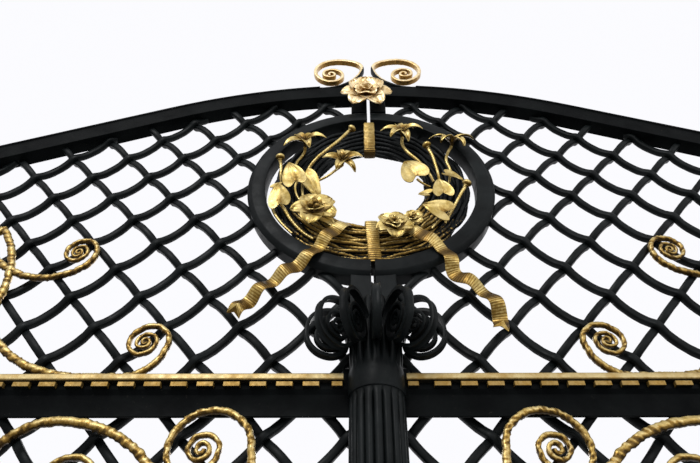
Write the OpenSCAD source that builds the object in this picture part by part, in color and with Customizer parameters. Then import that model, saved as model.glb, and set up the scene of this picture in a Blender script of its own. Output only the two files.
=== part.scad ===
/* [Leaf] */
// Width of one leaf from its meeting edge to its hinge edge
leaf_w = 1850; // [1500:10:2200]
// Gap between the two closed leaves
slit_w = 10; // [8:1:16]
// Height of the leaf's underside above the drive
ground_gap = 80; // [60:5:120]
// Width of a stile seen from the front
stile_w = 48; // [40:1:60]
// Depth of the frame bars from front to back
frame_d = 44; // [40:1:60]
// Distance of the frame's front face in front of the lattice crests
front_off = 14; // [14:1:20]
// Height of the bottom rail
bottom_rail_h = 60; // [40:5:90]

/* [Arch] */
// Height of the arch's top edge at the meeting edge
arch_h = 3222; // [3150:1:3400]
// Radius of the arch's crown and of its outer sweep
arch_r = 1617; // [1500:1:1800]
// Slope of the straight stretch between crown and sweep, in degrees
arch_slope = 22.4; // [18:0.2:25]
// Height of the arch rail, measured across it
arch_rail_h = 54; // [40:1:70]
// Thickness of the flat bar that caps the arch rail
arch_cap_t = 7; // [5:1:10]
// How far the cap bar stands proud of the rail's faces
arch_cap_out = 3; // [2:0.5:5]
// Distance from the meeting edge to the start of the cap bar
arch_cap_start = 150; // [140:5:200]

/* [Mid rail] */
// Height of the upper panel, from the arch's top down to the cornice
panel_h = 1080; // [1040:1:1140]
// Thickness of the cornice strip
cornice_t = 15; // [10:1:20]
// How far the cornice projects in front of the frame
cornice_out = 16; // [12:1:24]
// Height of the mid rail under the cornice
mid_rail_h = 69; // [50:1:90]
// How far the mid rail's moulding projects under the cornice
lip_out = 6; // [4:1:8]
// Height of that moulding, without its chamfer
lip_h = 14; // [10:1:20]
// Width of one dentil under the cornice
dentil_w = 32; // [20:1:36]
// Height of a dentil
dentil_h = 8; // [6:1:12]
// Distance from one dentil to the next
dentil_pitch = 50; // [44:1:70]

/* [Lattice] */
// Half the width of a lattice diamond
cell_x = 80; // [70:0.5:100]
// Half the height of a lattice diamond
cell_z = 85.15; // [70:0.05:105]
// Distance from the gate's centre line to the first crossing
cross_x = 376.5; // [340:0.5:410]
// Distance from the arch's top down to the first crossing
cross_drop = 513; // [500:1:540]
// Side of the square lattice bars
bar_t = 17; // [12:1:18]
// How far a falling bar sags back between two crossings
crimp_d = 12; // [6:1:14]

/* [Medallion] */
// Distance from the arch's top down to the medallion's centre
ring_drop = 479; // [470:1:490]
// Outer radius of the medallion ring
ring_r = 332; // [300:1:345]
// Width of the ring's face
ring_w = 48; // [36:1:56]
// Depth of the ring from front to back
ring_d = 48; // [46:1:60]
// Width of the bevel on the ring's outer front edge
ring_bevel = 12; // [8:1:16]
// Number of vine strands in the wreath
vine_n = 6; // [4:1:6]
// Radius of one vine strand
vine_r = 11; // [9:0.5:11.5]
// Radius of the innermost strand's centre line
vine_r0 = 157; // [150:1:165]
// Width of the ribbed bands that bind the wreath
band_w = 28; // [20:1:36]

/* [Flowers] */
// Reach of a lily petal from the flower's centre
lily_r = 56; // [30:1:60]
// Radius of a rose
rose_r = 40; // [25:1:44]
// Length of a heart-shaped leaf
leaf_l = 88; // [50:1:95]
// Radius of a bud
bud_r = 11; // [8:0.5:14]
// Reach of the top flower's outer petals
top_petal = 78; // [50:1:90]
// Thickness of petals and leaves
petal_t = 3; // [2:0.5:4]

/* [Column] */
// Radius of the column's core
column_r = 46; // [40:1:50]
// Radius of one reed on the column
reed_r = 9; // [7:0.5:10]
// Angle between two reeds
reed_step = 20; // [18:1:24]
// Height of the column's top above the cornice
column_rise = 192; // [180:1:200]
// Height of the part of that stretch from which the fronds spring
neck_h = 118; // [110:1:124]
// How far the collars stand proud of the reeds
collar_out = 2; // [1:0.5:4]
// Height of the column's foot
foot_h = 80; // [60:5:120]
// Number of fronds in the capital
frond_n = 7; // [5:2:7]
// Angle between two fronds
frond_step = 26; // [24:1:28]
// Radius of a frond's outer turn
frond_r = 50; // [44:1:54]
// Thickness of a frond's flat bar
frond_t = 5; // [4:0.5:6]
// Width of a frond's flat bar
frond_w = 16; // [12:1:17]

/* [Scrollwork] */
// Side of the hammered scroll bars
scroll_t = 14; // [10:1:16]
// Radius of the first turn of the upper panel's high scroll
high_r = 37; // [30:1:42]
// Radius of the first turn of the upper panel's low scroll
low_r = 42; // [34:1:48]
// Height of the upper panel's oval
oval_h = 432; // [360:1:440]
// Half the width of the upper panel's oval
oval_half = 80; // [60:1:100]
// Half the width of the lower panel's oval
tall_oval_half = 185; // [150:1:200]
// Radius of the lower panel's round loops
loop_r = 77; // [60:1:84]
// Distance of those loops from the gate's centre line
loop_x = 232; // [200:1:260]
// How far the loops' crowns lap over the rails
loop_lap = 9; // [6:1:12]
// Radius of the lower panel's wide arches
wide_r = 258; // [230:1:270]
// Radius of the finial's outer turn
curl_r = 70; // [60:1:74]
// Width of the finial's flat bar
finial_w = 20; // [14:1:24]
// Thickness of the finial's flat bar
finial_t = 7; // [5:0.5:9]
// Width of a gilded ribbon
ribbon_w = 28; // [20:1:34]
// Thickness of a gilded ribbon
ribbon_t = 3; // [3:0.5:5]
// Depth of a ribbon's waves
ribbon_wave = 13; // [8:1:18]

/* [Posts] */
// Side of the square gate posts
post_w = 160; // [120:5:200]
// Height of a post's shaft above the drive
post_h = 2900; // [2800:10:3100]
// How far a post's cap stands proud of the shaft
cap_out = 15; // [8:1:25]
// Thickness of the cap plate
cap_t = 20; // [12:1:30]
// Height of the pyramid on the cap
cap_h = 50; // [30:5:80]
// Distance from the leaf's hinge edge to the post
post_gap = 45; // [44:1:60]
// Side of a post's base plate
base_w = 300; // [260:10:360]
// Thickness of a post's base plate
base_t = 16; // [12:1:25]
// Distance between the anchor holes
anchor_pitch = 240; // [200:10:300]
// Radius of an anchor hole
anchor_r = 9; // [7:0.5:11]
// Width of the sill bar between the posts
sill_w = 80; // [60:5:120]
// Thickness of the sill bar
sill_t = 10; // [8:1:16]
// Height of the stop in the middle of the sill
stop_h = 45; // [30:1:48]

/* [Hinges] */
// Radius of a hinge pin
pin_r = 10; // [8:0.5:11]
// Radial clearance of the pin in its eye
pin_clear = 0.05; // [0.02:0.01:0.1]
// Outer radius of a hinge eye
eye_r = 17; // [15:0.5:18]
// Height of a hinge eye
eye_h = 50; // [40:1:70]
// Height of the collar that carries an eye
pintle_h = 14; // [10:1:20]
// Thickness of the strap that holds an eye
strap_t = 12; // [8:1:14]
// Distance of the hinge axis in front of the frame
axis_out = 24; // [22:1:28]
// Height of the lowest hinge above the leaf's underside
hinge_rise = 180; // [120:10:320]
// Distance from the arch's low end down to the highest hinge
hinge_drop = 239; // [200:1:320]

/* [Hidden] */
$fn = 48;

paint = [0.09, 0.10, 0.11];
gilt = [0.83, 0.64, 0.22];

// Gap between a piece and the seat that it rests on or stops short of
seat = 0.3;
edge_in = slit_w / 2;
edge_out = edge_in + leaf_w;
leaf_mid = (edge_in + edge_out) / 2;
front_y = -front_off;
back_y = front_y + frame_d;
cornice_top = arch_h - panel_h;
cornice_y = front_y - cornice_out;
beam_top = cornice_top - cornice_t;
beam_bottom = beam_top - mid_rail_h;
lower_top = beam_bottom;
lower_bottom = ground_gap + bottom_rail_h;
frame_h = arch_rail_h + arch_cap_t;
ring_z = arch_h - ring_drop;
ring_y = -ring_d / 3;
ring_in = ring_r - ring_w;
cross_z = arch_h - cross_drop;
vine_pitch = (ring_in - vine_r0 - vine_r) / (vine_n - 0.5);
vine_y = vine_r + 4;
vine_front = vine_y - vine_r;
scroll_y = -scroll_t;
column_y = front_y - reed_r * 2 / 3;
column_out = column_r + reed_r;
column_top = cornice_top + column_rise;
neck_z = column_top - neck_h;
post_in = edge_out + post_gap;
post_x = post_in + post_w / 2;
axis_x = edge_out + eye_r + 0.5;
axis_y = front_y - axis_out;
big = 5000;

// Points of the arch's top edge, moved inwards by d, from the crown at x = 0 to the sweep at the hinge edge
arch_x1 = arch_r * sin(arch_slope);
arch_end = edge_out + 5;
arch_drop = 2 * arch_r * (1 - cos(arch_slope)) + tan(arch_slope) * (arch_end - 2 * arch_x1);
arch_low = arch_h - arch_drop;
hinge_low = ground_gap + hinge_rise;
hinge_high = arch_low - hinge_drop;
hinge_z = [hinge_low, (hinge_low + hinge_high) / 2, hinge_high];
function arch_angle(x) =
    x < arch_x1 ? asin(x / arch_r)
    : x < arch_end - arch_x1 ? arch_slope
    : asin((arch_end - x) / arch_r);
function arch_top(x) =
    x < arch_x1 ? arch_h - arch_r + sqrt(arch_r * arch_r - x * x)
    : x < arch_end - arch_x1 ? arch_h - arch_r * (1 - cos(arch_slope)) - tan(arch_slope) * (x - arch_x1)
    : arch_low + arch_r - sqrt(arch_r * arch_r - (arch_end - x) * (arch_end - x));
function arch_point(x, d) = [x - d * sin(arch_angle(x)), arch_top(x) - d * cos(arch_angle(x))];
arch_steps = 12;
arch_run = 60;
function arch_line(d) = concat(
    [[-arch_run, arch_h - d]],
    [for (i = [0 : arch_steps]) arch_point(arch_r * sin(arch_slope * i / arch_steps), d)],
    [for (i = [arch_steps : -1 : 0]) arch_point(arch_end - arch_r * sin(arch_slope * i / arch_steps), d)],
    [[arch_end + arch_run, arch_low - d]]);
function reversed(list) = [for (i = [len(list) - 1 : -1 : 0]) list[i]];

// A path of arcs: each part is [radius, turn]; a positive turn goes left, and turn 0 runs straight for radius
function path_centre(p, h, s) = p + s[0] * (s[1] > 0 ? [-sin(h), cos(h)] : [sin(h), -cos(h)]);
function path_end(p, h, s) =
    s[1] == 0 ? p + s[0] * [cos(h), sin(h)]
    : path_centre(p, h, s)
        - s[0] * (s[1] > 0 ? [-sin(h + s[1]), cos(h + s[1])] : [sin(h + s[1]), -cos(h + s[1])]);
function arc_steps(s) = s[1] == 0 ? 1 : max(2, ceil(abs(s[1]) / min(24, 2 * acos(1 - 0.9 / s[0]))));
function path_part(p, h, s) =
    [for (i = [1 : arc_steps(s)])
        s[1] == 0 ? [path_end(p, h, s), h]
        : [path_end(p, h, [s[0], s[1] * i / arc_steps(s)]), h + s[1] * i / arc_steps(s)]];
function path(p, h, parts, i = 0) =
    i == len(parts) ? []
    : concat(path_part(p, h, parts[i]), path(path_end(p, h, parts[i]), h + parts[i][1], parts, i + 1));
function side(line, d) = [for (q = line) q[0] + d * [-sin(q[1]), cos(q[1])]];
// Shares of a scroll's first radius for its inner turns, and the scroll that they give
turns = [1, 0.7, 0.5, 0.33];
function curl(r) = [for (t = turns) [r * t, -180]];

// Flat outline of a bar of width t that follows a path from p in direction h
module band(p, h, parts, t) {
    line = concat([[p, h]], path(p, h, parts));
    polygon(concat(side(line, t / 2), reversed(side(line, -t / 2))));
}

// Stands an outline drawn in X and height upright, from front y to y + d
module upright(y, d) {
    translate([0, y + d, 0]) rotate([90, 0, 0]) linear_extrude(height = d) children();
}

// A box from x0 to x1, y0 to y1 and z0 to z1
module block(x0, x1, y0, y1, z0, z1) {
    translate([x0, y0, z0]) cube([x1 - x0, y1 - y0, z1 - z0]);
}

// Every part is drawn from the gate's centre line; the origin is under the left post
module place() {
    translate([post_x, 0, 0]) children();
}
module right_side() {
    place() children();
}
module left_side() {
    place() mirror([1, 0, 0]) children();
}

// Posts, pintles and sill
module cap_slope() {
    translate([post_x, 0, 0]) rotate([90, 0, 0]) linear_extrude(height = big, center = true)
        polygon([[-post_w / 2, post_h + cap_t], [post_w / 2, post_h + cap_t],
            [cap_out / 2, post_h + cap_t + cap_h], [-cap_out / 2, post_h + cap_t + cap_h]]);
}
module post() {
    color(paint) difference() {
        union() {
            block(post_x - base_w / 2, post_x + base_w / 2, -base_w / 2, base_w / 2, 0, base_t);
            block(post_in, post_in + post_w, -post_w / 2, post_w / 2, base_t, post_h);
            block(post_in - cap_out, post_in + post_w + cap_out, -post_w / 2 - cap_out, post_w / 2 + cap_out,
                post_h, post_h + cap_t);
            intersection() {
                cap_slope();
                translate([post_x, 0, 0]) rotate([0, 0, 90]) translate([-post_x, 0, 0]) cap_slope();
            }
        }
        for (sx = [-1, 1], sy = [-1, 1])
            translate([post_x + sx * anchor_pitch / 2, sy * anchor_pitch / 2, -1])
                cylinder(r = anchor_r, h = base_t + 2);
    }
}
module pintles() {
    arm = eye_r - 1;
    color(paint) for (z = hinge_z) {
        translate([axis_x, axis_y, z - pintle_h]) cylinder(r = arm, h = pintle_h);
        block(axis_x, post_in, axis_y - arm, axis_y + arm, z - pintle_h, z);
        translate([axis_x, axis_y, z]) cylinder(r = pin_r, h = eye_h + 4);
    }
}
module sill() {
    color(paint) place() {
        block(-post_x + base_w / 2, post_x - base_w / 2, -sill_w / 2, sill_w / 2, 0, sill_t);
        block(-sill_w * 0.4, sill_w * 0.4, -sill_w / 4, sill_w / 4, sill_t, sill_t + stop_h);
    }
}

// Leaf frame
module hinge_stile() {
    color(paint)
        block(edge_out - stile_w, edge_out, front_y, back_y, lower_bottom, arch_top(edge_out) - frame_h - 2);
}
module meeting_stile() {
    color(paint) difference() {
        union() {
            block(edge_in, edge_in + stile_w, front_y, back_y, lower_bottom, beam_bottom);
            block(edge_in, edge_in + stile_w, front_y, back_y, cornice_top, arch_h - frame_h - 2);
        }
        translate([0, -big / 2, ring_z]) rotate([-90, 0, 0]) cylinder(r = ring_r, h = big, $fn = 96);
    }
}
module arch_rail() {
    color(paint) {
        upright(front_y, frame_d) intersection() {
            polygon(concat(arch_line(arch_cap_t), reversed(arch_line(frame_h))));
            translate([edge_in, 0]) square([leaf_w, big]);
        }
        upright(front_y - arch_cap_out, frame_d + 2 * arch_cap_out) intersection() {
            polygon(concat(arch_line(0), reversed(arch_line(arch_cap_t))));
            translate([edge_in + arch_cap_start, 0]) square([leaf_w - arch_cap_start, big]);
        }
    }
}
module mid_rail() {
    lip_y = front_y - lip_out;
    color(paint) difference() {
        translate([edge_in, 0, 0]) rotate([90, 0, 90]) linear_extrude(height = leaf_w - stile_w)
            polygon([[front_y, beam_bottom], [back_y, beam_bottom], [back_y, beam_top], [lip_y, beam_top],
                [lip_y, beam_top - lip_h], [front_y, beam_top - lip_h - lip_out * 1.5]]);
        block(0, column_out + collar_out * 2, lip_y - 1, front_y, beam_bottom - 1, beam_top + 1);
    }
}
module cornice() {
    start = column_out + collar_out * 2;
    stop = edge_out - stile_w;
    color(gilt) {
        block(start, stop, cornice_y, back_y, beam_top, cornice_top);
        for (x = [start + dentil_w / 4 : dentil_pitch : stop - dentil_w])
            block(x, x + dentil_w, cornice_y + 3, front_y - lip_out, beam_top - dentil_h, beam_top);
    }
}
module bottom_rail() {
    color(paint) block(edge_in, edge_out, front_y, back_y, ground_gap, lower_bottom);
}
module ring() {
    color(paint) intersection() {
        translate([0, ring_y + ring_d, ring_z]) rotate([90, 0, 0]) rotate_extrude($fn = 96)
            polygon([[ring_in, 0], [ring_r, 0], [ring_r, ring_d - ring_bevel * 0.8],
                [ring_r - ring_bevel, ring_d], [ring_in, ring_d]]);
        block(edge_in, big, -big, big, 0, big);
    }
}

// Lattice: the region that a panel's bars fill, as an outline in X and height
module upper_region() {
    difference() {
        intersection() {
            polygon(concat(arch_line(frame_h),
                [[arch_end + arch_run, cornice_top], [-arch_run, cornice_top]]));
            translate([edge_in + stile_w, cornice_top]) square([leaf_w - 2 * stile_w, big]);
        }
        translate([0, ring_z]) circle(r = ring_r, $fn = 96);
    }
}
module lower_region() {
    translate([edge_in + stile_w, lower_bottom]) square([leaf_w - 2 * stile_w, lower_top - lower_bottom]);
}
bar_step = sqrt(cell_x * cell_x + cell_z * cell_z);
bar_tilt = atan2(cell_z, cell_x);
// Half cells from the first crossing to a panel's edges, counted sideways and upwards
cols = [(edge_in + stile_w - cross_x) / cell_x, (edge_out - stile_w - cross_x) / cell_x];
upper_rows = [(cornice_top - cross_z) / cell_z, (arch_h - frame_h - cross_z) / cell_z];
lower_rows = [(lower_bottom - cross_z) / cell_z, (lower_top - cross_z) / cell_z];
// First and last bar that reach a panel, and the crossings between which each bar runs
function rising(rows) = [ceil((cols[0] - rows[1]) / 2), floor((cols[1] - rows[0]) / 2)];
function falling(rows) = [ceil((cols[0] + rows[0]) / 2), floor((cols[1] + rows[1]) / 2)];
// One line of a bar: flat where it crosses others, at another depth halfway between them
function woven_line(i0, i1, flat_y, mid_y) = [for (i = [i0 : i1 - 1], s = [0 : 2])
    [(i + [0.09, 0.5, 0.91][s]) * bar_step, [flat_y, mid_y, flat_y][s]]];
module woven_bar(i0, i1, flat_y, mid_y) {
    translate([0, 0, -bar_t / 2]) linear_extrude(height = bar_t)
        polygon(concat(woven_line(i0, i1, flat_y, mid_y),
            reversed(woven_line(i0, i1, flat_y + bar_t, mid_y + bar_t))));
}
// A rising bar bows forward between the crossings and dips behind the falling bars at them
module rising_bar(j, i0, i1) {
    translate([cross_x + j * cell_x, 0, cross_z - j * cell_z]) rotate([0, -bar_tilt, 0])
        woven_bar(i0, i1, bar_t, 0);
}
module falling_bar(i, j0, j1) {
    translate([cross_x + i * cell_x, 0, cross_z + i * cell_z]) rotate([0, bar_tilt, 0])
        woven_bar(j0, j1, 0, crimp_d);
}
module rising_bars(rows) {
    for (j = [rising(rows)[0] : rising(rows)[1]])
        rising_bar(j, max(floor(cols[0] - j), floor(rows[0] + j)) - 1,
            min(ceil(cols[1] - j), ceil(rows[1] + j)) + 1);
}
module falling_bars(rows) {
    for (i = [falling(rows)[0] : falling(rows)[1]])
        falling_bar(i, max(floor(cols[0] - i), floor(i - rows[1])) - 1,
            min(ceil(cols[1] - i), ceil(i - rows[0])) + 1);
}
lattice_d = crimp_d + 3 * bar_t;
module upper_bars() {
    color(paint) intersection() {
        rising_bars(upper_rows);
        upright(-bar_t, lattice_d) upper_region();
    }
}
module upper_crimped_bars() {
    color(paint) intersection() {
        falling_bars(upper_rows);
        upright(-bar_t, lattice_d) upper_region();
    }
}
module lower_bars() {
    color(paint) intersection() {
        rising_bars(lower_rows);
        upright(-bar_t, lattice_d) lower_region();
    }
}
module lower_crimped_bars() {
    color(paint) intersection() {
        falling_bars(lower_rows);
        upright(-bar_t, lattice_d) lower_region();
    }
}

// Scrollwork: the outlines of the gilded bars in front of the lattice, for the half of a leaf nearer the slit
scroll_bar = scroll_t * 0.8;
module oval(z0, z1, half) {
    chord = z1 - z0;
    r = (chord * chord / 4 + half * half) / (2 * half);
    turn = 2 * asin(chord / 2 / r);
    band([leaf_mid, z0], 90 + turn / 2, [[r, -turn]], scroll_t);
}
// The high scroll drops from the leaf's centre line and curls up; the low one runs along the cornice first
module high_scroll() {
    band([leaf_mid, cornice_top + high_r * 9.5], 227,
        concat([[high_r * 7.8, -25], [high_r * 3.7, -58], [high_r * 1.7, -64]], curl(high_r)), scroll_bar);
}
module low_scroll() {
    sweep = 62;
    sweep_r = low_r * 7.2;
    low = cornice_top + scroll_bar / 2 + seat;
    band([leaf_mid - oval_half * 0.87, low + sweep_r * (1 - cos(sweep))], 180 + sweep,
        concat([[sweep_r, -sweep], [low_r * 1.7, 0], [low_r * 2, -90]], curl(low_r)), scroll_bar);
}
module upper_scroll_half() {
    oval(cornice_top + scroll_t / 2 + seat, cornice_top + oval_h, oval_half);
    high_scroll();
    low_scroll();
}
module both_halves() {
    children();
    translate([2 * leaf_mid, 0]) mirror([1, 0]) children();
}
module upper_scrolls() {
    color(gilt) upright(scroll_y, scroll_t) both_halves() upper_scroll_half();
}
lower_mid = (lower_top + lower_bottom) / 2;
lower_half = (lower_top - lower_bottom) / 2;
lower_bar = scroll_t * 0.9;
lean = 7;
loop_rise = lower_half + loop_lap - loop_r + loop_r * sin(lean);
stem_x = loop_x - loop_rise * tan(lean / 2);
module round_loop() {
    band([stem_x, lower_mid], 90,
        concat([[loop_rise / sin(lean), -lean], [loop_r, lean - 180]],
            [for (k = [0.62, 0.37, 0.26, 0.16]) [loop_r * k, -180]]), lower_bar);
}
module wide_arch() {
    bend_r = wide_r * 3.27;
    crown = lower_half - lower_bar;
    rise = crown - wide_r * (1 - cos(47)) - bend_r * sin(43);
    band([stem_x + lower_bar - 1, lower_mid], 90,
        concat([[rise, 0], [bend_r, -43], [wide_r, -47], [wide_r * 0.46, -90], [wide_r * 0.43, -180]],
            [for (k = [0.19, 0.13, 0.085, 0.05]) [wide_r * k, -180]]), lower_bar);
}
module lower_scroll_quarter() {
    round_loop();
    wide_arch();
}
module lower_scrolls() {
    color(gilt) upright(front_y - scroll_t, scroll_t) both_halves() {
        lower_scroll_quarter();
        translate([0, 2 * lower_mid]) mirror([0, 1]) lower_scroll_quarter();
        oval(lower_bottom - scroll_t / 2, lower_top + scroll_t / 2, tall_oval_half);
    }
}

// Finial: a flat bar that leaves the arch's top beside the cap bar, turns up and curls outwards
module finial() {
    start = edge_in + arch_cap_start - seat;
    color(paint) upright(front_y, finial_w) difference() {
        band([start, arch_top(start) - arch_cap_t + finial_t / 2], 176,
            [[curl_r * 2, -76], [curl_r * 0.67, -71], [curl_r * 1.7, -39], [curl_r, -141], [curl_r * 0.56, -82],
                [curl_r * 0.54, -150], [curl_r * 0.32, -180], [curl_r * 0.19, -150]], finial_t);
        polygon(concat(arch_line(arch_cap_t - seat), [[arch_end, 0], [-arch_run, 0]]));
    }
}

// Wreath: strands of vine side by side inside the ring, split at the slit
module wreath_vines() {
    color(paint) intersection() {
        translate([0, vine_y, ring_z]) rotate([90, 0, 0]) rotate_extrude($fn = 96) union() {
            for (k = [0 : vine_n - 1]) translate([vine_r0 + k * vine_pitch, 0]) circle(r = vine_r, $fn = 24);
            translate([vine_r0, -vine_r / 3]) square([ring_in - vine_r0, vine_r * 2 / 3]);
        }
        block(edge_in, big, -big, big, 0, big);
    }
}
// A place on strand k at angle a around the wreath, measured from +X, turned so that +Z points to the front
module on_wreath(a, k, spin = 0) {
    translate([0, vine_front, ring_z]) rotate([0, -a, 0]) translate([vine_r0 + k * vine_pitch, 0, 0])
        rotate([90, 0, 0]) rotate([0, 0, spin]) children();
}
// A sheet bent along a path of arcs that rises from [x, z] at angle h, cut to the outline given
module bent(x, z, h, parts, half) {
    intersection() {
        linear_extrude(height = big) children();
        translate([0, half, 0]) rotate([90, 0, 0]) linear_extrude(height = 2 * half)
            band([x, z], h, parts, petal_t);
    }
}
// Outline of a pointed petal of length l and width w, and of a round one
module pointed(l, w) {
    polygon([[0, -w * 0.2], [l * 0.35, -w * 0.5], [l * 0.72, -w * 0.3], [l, 0], [l * 0.72, w * 0.3],
        [l * 0.35, w * 0.5], [0, w * 0.2]]);
}
module round_petal(l) {
    half = [[0, 0.16], [0.25, 0.31], [0.5, 0.4], [0.75, 0.36], [0.93, 0.2]];
    polygon(concat([for (p = half) [l * p[0], -l * p[1]]], [[l, 0]],
        [for (i = [4 : -1 : 0]) [l * half[i][0], l * half[i][1]]]));
}
module lily() {
    cylinder(r = petal_t * 2, h = lily_r * 0.42);
    translate([0, 0, lily_r * 0.16]) for (a = [0 : 60 : 300]) rotate([0, 0, a])
        bent(petal_t, petal_t * 2, 62, [[lily_r * 0.7, -62], [lily_r * 0.6, -34]], lily_r)
            pointed(lily_r, lily_r * 0.4);
    cylinder(r = petal_t / 2, h = lily_r * 0.85);
}
// A lily that stands inside the wreath's opening, on a stem that lies across the strands
module stemmed_lily() {
    reach = vine_pitch * 2;
    translate([-reach, 0, 0]) lily();
    translate([-reach, 0, petal_t * 1.2 + seat]) rotate([0, 90, 0])
        cylinder(r = petal_t * 1.2, h = reach + vine_pitch);
}
module bud() {
    cylinder(r = petal_t * 1.5, h = bud_r * 2);
    rotate_extrude()
        polygon([[0, bud_r], [bud_r * 0.7, bud_r * 1.2], [bud_r, bud_r * 2], [bud_r * 0.8, bud_r * 2.8],
            [0, bud_r * 3.6]]);
}
module heart_leaf() {
    cylinder(r = petal_t * 2, h = petal_t * 5);
    translate([-leaf_l * 0.35, 0, 0])
        bent(-leaf_l * 0.2, petal_t * 2, 24, [[leaf_l * 1.1, -24], [leaf_l * 2.4, -18]], leaf_l)
            polygon([[0, 0], [-leaf_l * 0.12, leaf_l * 0.2], [-leaf_l * 0.06, leaf_l * 0.42],
                [leaf_l * 0.2, leaf_l * 0.5], [leaf_l * 0.5, leaf_l * 0.38], [leaf_l * 0.8, leaf_l * 0.13],
                [leaf_l, 0], [leaf_l * 0.8, -leaf_l * 0.13], [leaf_l * 0.5, -leaf_l * 0.38],
                [leaf_l * 0.2, -leaf_l * 0.5], [-leaf_l * 0.06, -leaf_l * 0.42],
                [-leaf_l * 0.12, -leaf_l * 0.2]]);
}
// Three rows of cupped petals round a heart: count, reach and steepness of each row
module blossom(r, n) {
    for (row = [0 : 2], a = [0 : n - 1 - row])
        rotate([0, 0, (a + row / 2) * 360 / (n - row)])
            bent(r * 0.08, r * 0.1 * row + petal_t, 14 + 18 * row, [[r * 2.6, 24]], r)
                round_petal(r * (1 - 0.24 * row));
    cylinder(r = r * 0.2, h = r * 0.55);
    cylinder(r = r * 0.45, h = petal_t * 2);
}
module left_flowers() {
    color(gilt) {
        on_wreath(141, 4, 20) lily();
        on_wreath(136, 0) stemmed_lily();
        on_wreath(104, 3) bud();
        on_wreath(166, 4) bud();
        on_wreath(180, 2, 130) heart_leaf();
        on_wreath(201, 3, 60) heart_leaf();
        on_wreath(223, 2) blossom(rose_r, 5);
    }
}
module right_flowers() {
    color(gilt) {
        on_wreath(64, 3, 15) lily();
        on_wreath(36, 5, 0) lily();
        on_wreath(48, 2) bud();
        on_wreath(12, 0, 200) heart_leaf();
        on_wreath(-8, 2, 60) heart_leaf();
        on_wreath(-37, 3, -60) heart_leaf();
        on_wreath(-72, 2) blossom(rose_r, 5);
    }
}
// A ribbon hangs in a curve over the ring's front face, waves to and fro and ends in two points
module ribbon(p, h, parts, dir, waves) {
    line = concat([[p, h]], path(p, h, parts));
    tip = line[len(line) - 1];
    length = (tip[0] - p) * [cos(dir), sin(dir)] + ribbon_w;
    step = length / waves;
    wave = [for (i = [0 : waves * 4])
        [i / 4 * step, ring_y - ribbon_t - ribbon_wave * [0.05, 0.5, 1, 0.5][i % 4]]];
    intersection() {
        upright(-big / 2, big) difference() {
            band(p, h, parts, ribbon_w);
            translate(tip[0]) rotate(tip[1]) polygon([[1, -ribbon_w], [-ribbon_w * 0.7, 0], [1, ribbon_w]]);
        }
        translate([p[0], 0, p[1]]) rotate([0, -dir, 0]) translate([-ribbon_w / 2, 0, -big / 2])
            linear_extrude(height = big) polygon(concat(wave, reversed([for (q = wave) q + [0, ribbon_t]])));
    }
}
ribbon_l = ribbon_w * 4;
module left_ribbon() {
    color(gilt) ribbon([ring_r * 0.27, ring_z - ring_r * 0.53], -46,
        [[ribbon_l * 1.4, -23], [ribbon_l * 1.9, 32], [ribbon_l * 1.4, -29],
            [ribbon_l * 1.1, 19], [ribbon_l * 1.2, -30]],
        -55, 6);
}
module right_ribbon() {
    color(gilt) ribbon([ring_r * 0.375, ring_z - ring_r * 0.66], -52,
        [[ribbon_l * 0.4, 20], [ribbon_l * 0.88, -59], [ribbon_l * 0.47, 63],
            [ribbon_l, -72], [ribbon_l * 0.9, -14]],
        -64, 6);
}
module bands() {
    in = vine_r0 - vine_r;
    color(gilt) place() for (a = [90, -90]) translate([0, 0, ring_z]) rotate([0, -a, 0]) {
        block(in, ring_in - 1, vine_front - 9, vine_front - 6, -band_w / 2, band_w / 2);
        if (a > 0) block(in, ring_in - 1, vine_front - 6, vine_front, -band_w / 2, -edge_in - 2);
        else block(in, ring_in - 1, vine_front - 6, vine_front, edge_in + 2, band_w / 2);
    }
}

// Column in front of the meeting stiles, with reeds, a collar at the cornice and a plain foot
module column() {
    color(paint) place() {
        intersection() {
            union() {
                translate([0, column_y, ground_gap]) cylinder(r = column_r, h = neck_z - ground_gap);
                for (a = [-4 : 4])
                    translate([column_r * sin(a * reed_step), column_y - column_r * cos(a * reed_step), ground_gap])
                        cylinder(r = reed_r, h = neck_z - ground_gap, $fn = 24);
                translate([0, column_y, beam_top - cornice_t * 2])
                    cylinder(r = column_out + collar_out, h = cornice_t * 3.7);
                translate([0, column_y, ground_gap]) cylinder(r = column_out + collar_out, h = foot_h);
            }
            block(-big, big, -big, column_y, 0, big);
        }
        block(edge_in + collar_out, edge_in + stile_w - collar_out, column_y, front_y,
            ground_gap, column_top);
    }
}
// Capital: flat bars spring from the neck, rise and curl over outwards
module capital() {
    root = column_r * 0.96;
    color(paint) place() {
        intersection() {
            translate([0, column_y, neck_z]) cylinder(r = root, h = neck_h);
            block(-big, big, -big, column_y - seat, 0, big);
        }
        for (k = [-(frond_n - 1) / 2 : (frond_n - 1) / 2])
            translate([0, column_y, 0]) rotate([0, 0, -90 + k * frond_step])
                upright(-frond_w / 2, frond_w)
                    band([root, neck_z], 90,
                        concat([[neck_h - frond_r * 1.82, 0], [frond_r * 1.06, -90], [frond_r, -90],
                            [frond_r * 0.28, 0], [frond_r, -90]],
                            [for (t = [0.78, 0.6, 0.44, 0.3, 0.18]) [frond_r * t, -180]]), frond_t);
    }
}
module top_flower() {
    color(gilt) place() translate([-edge_in, 0, arch_h - top_petal]) {
        translate([edge_in + stile_w / 2, front_y, 0]) rotate([90, 0, 0])
            cylinder(r = stile_w / 4, h = petal_t * 5);
        translate([0, front_y - petal_t * 4, 0]) rotate([90, 0, 0]) rotate([0, 0, -18]) blossom(top_petal, 5);
    }
}

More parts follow.
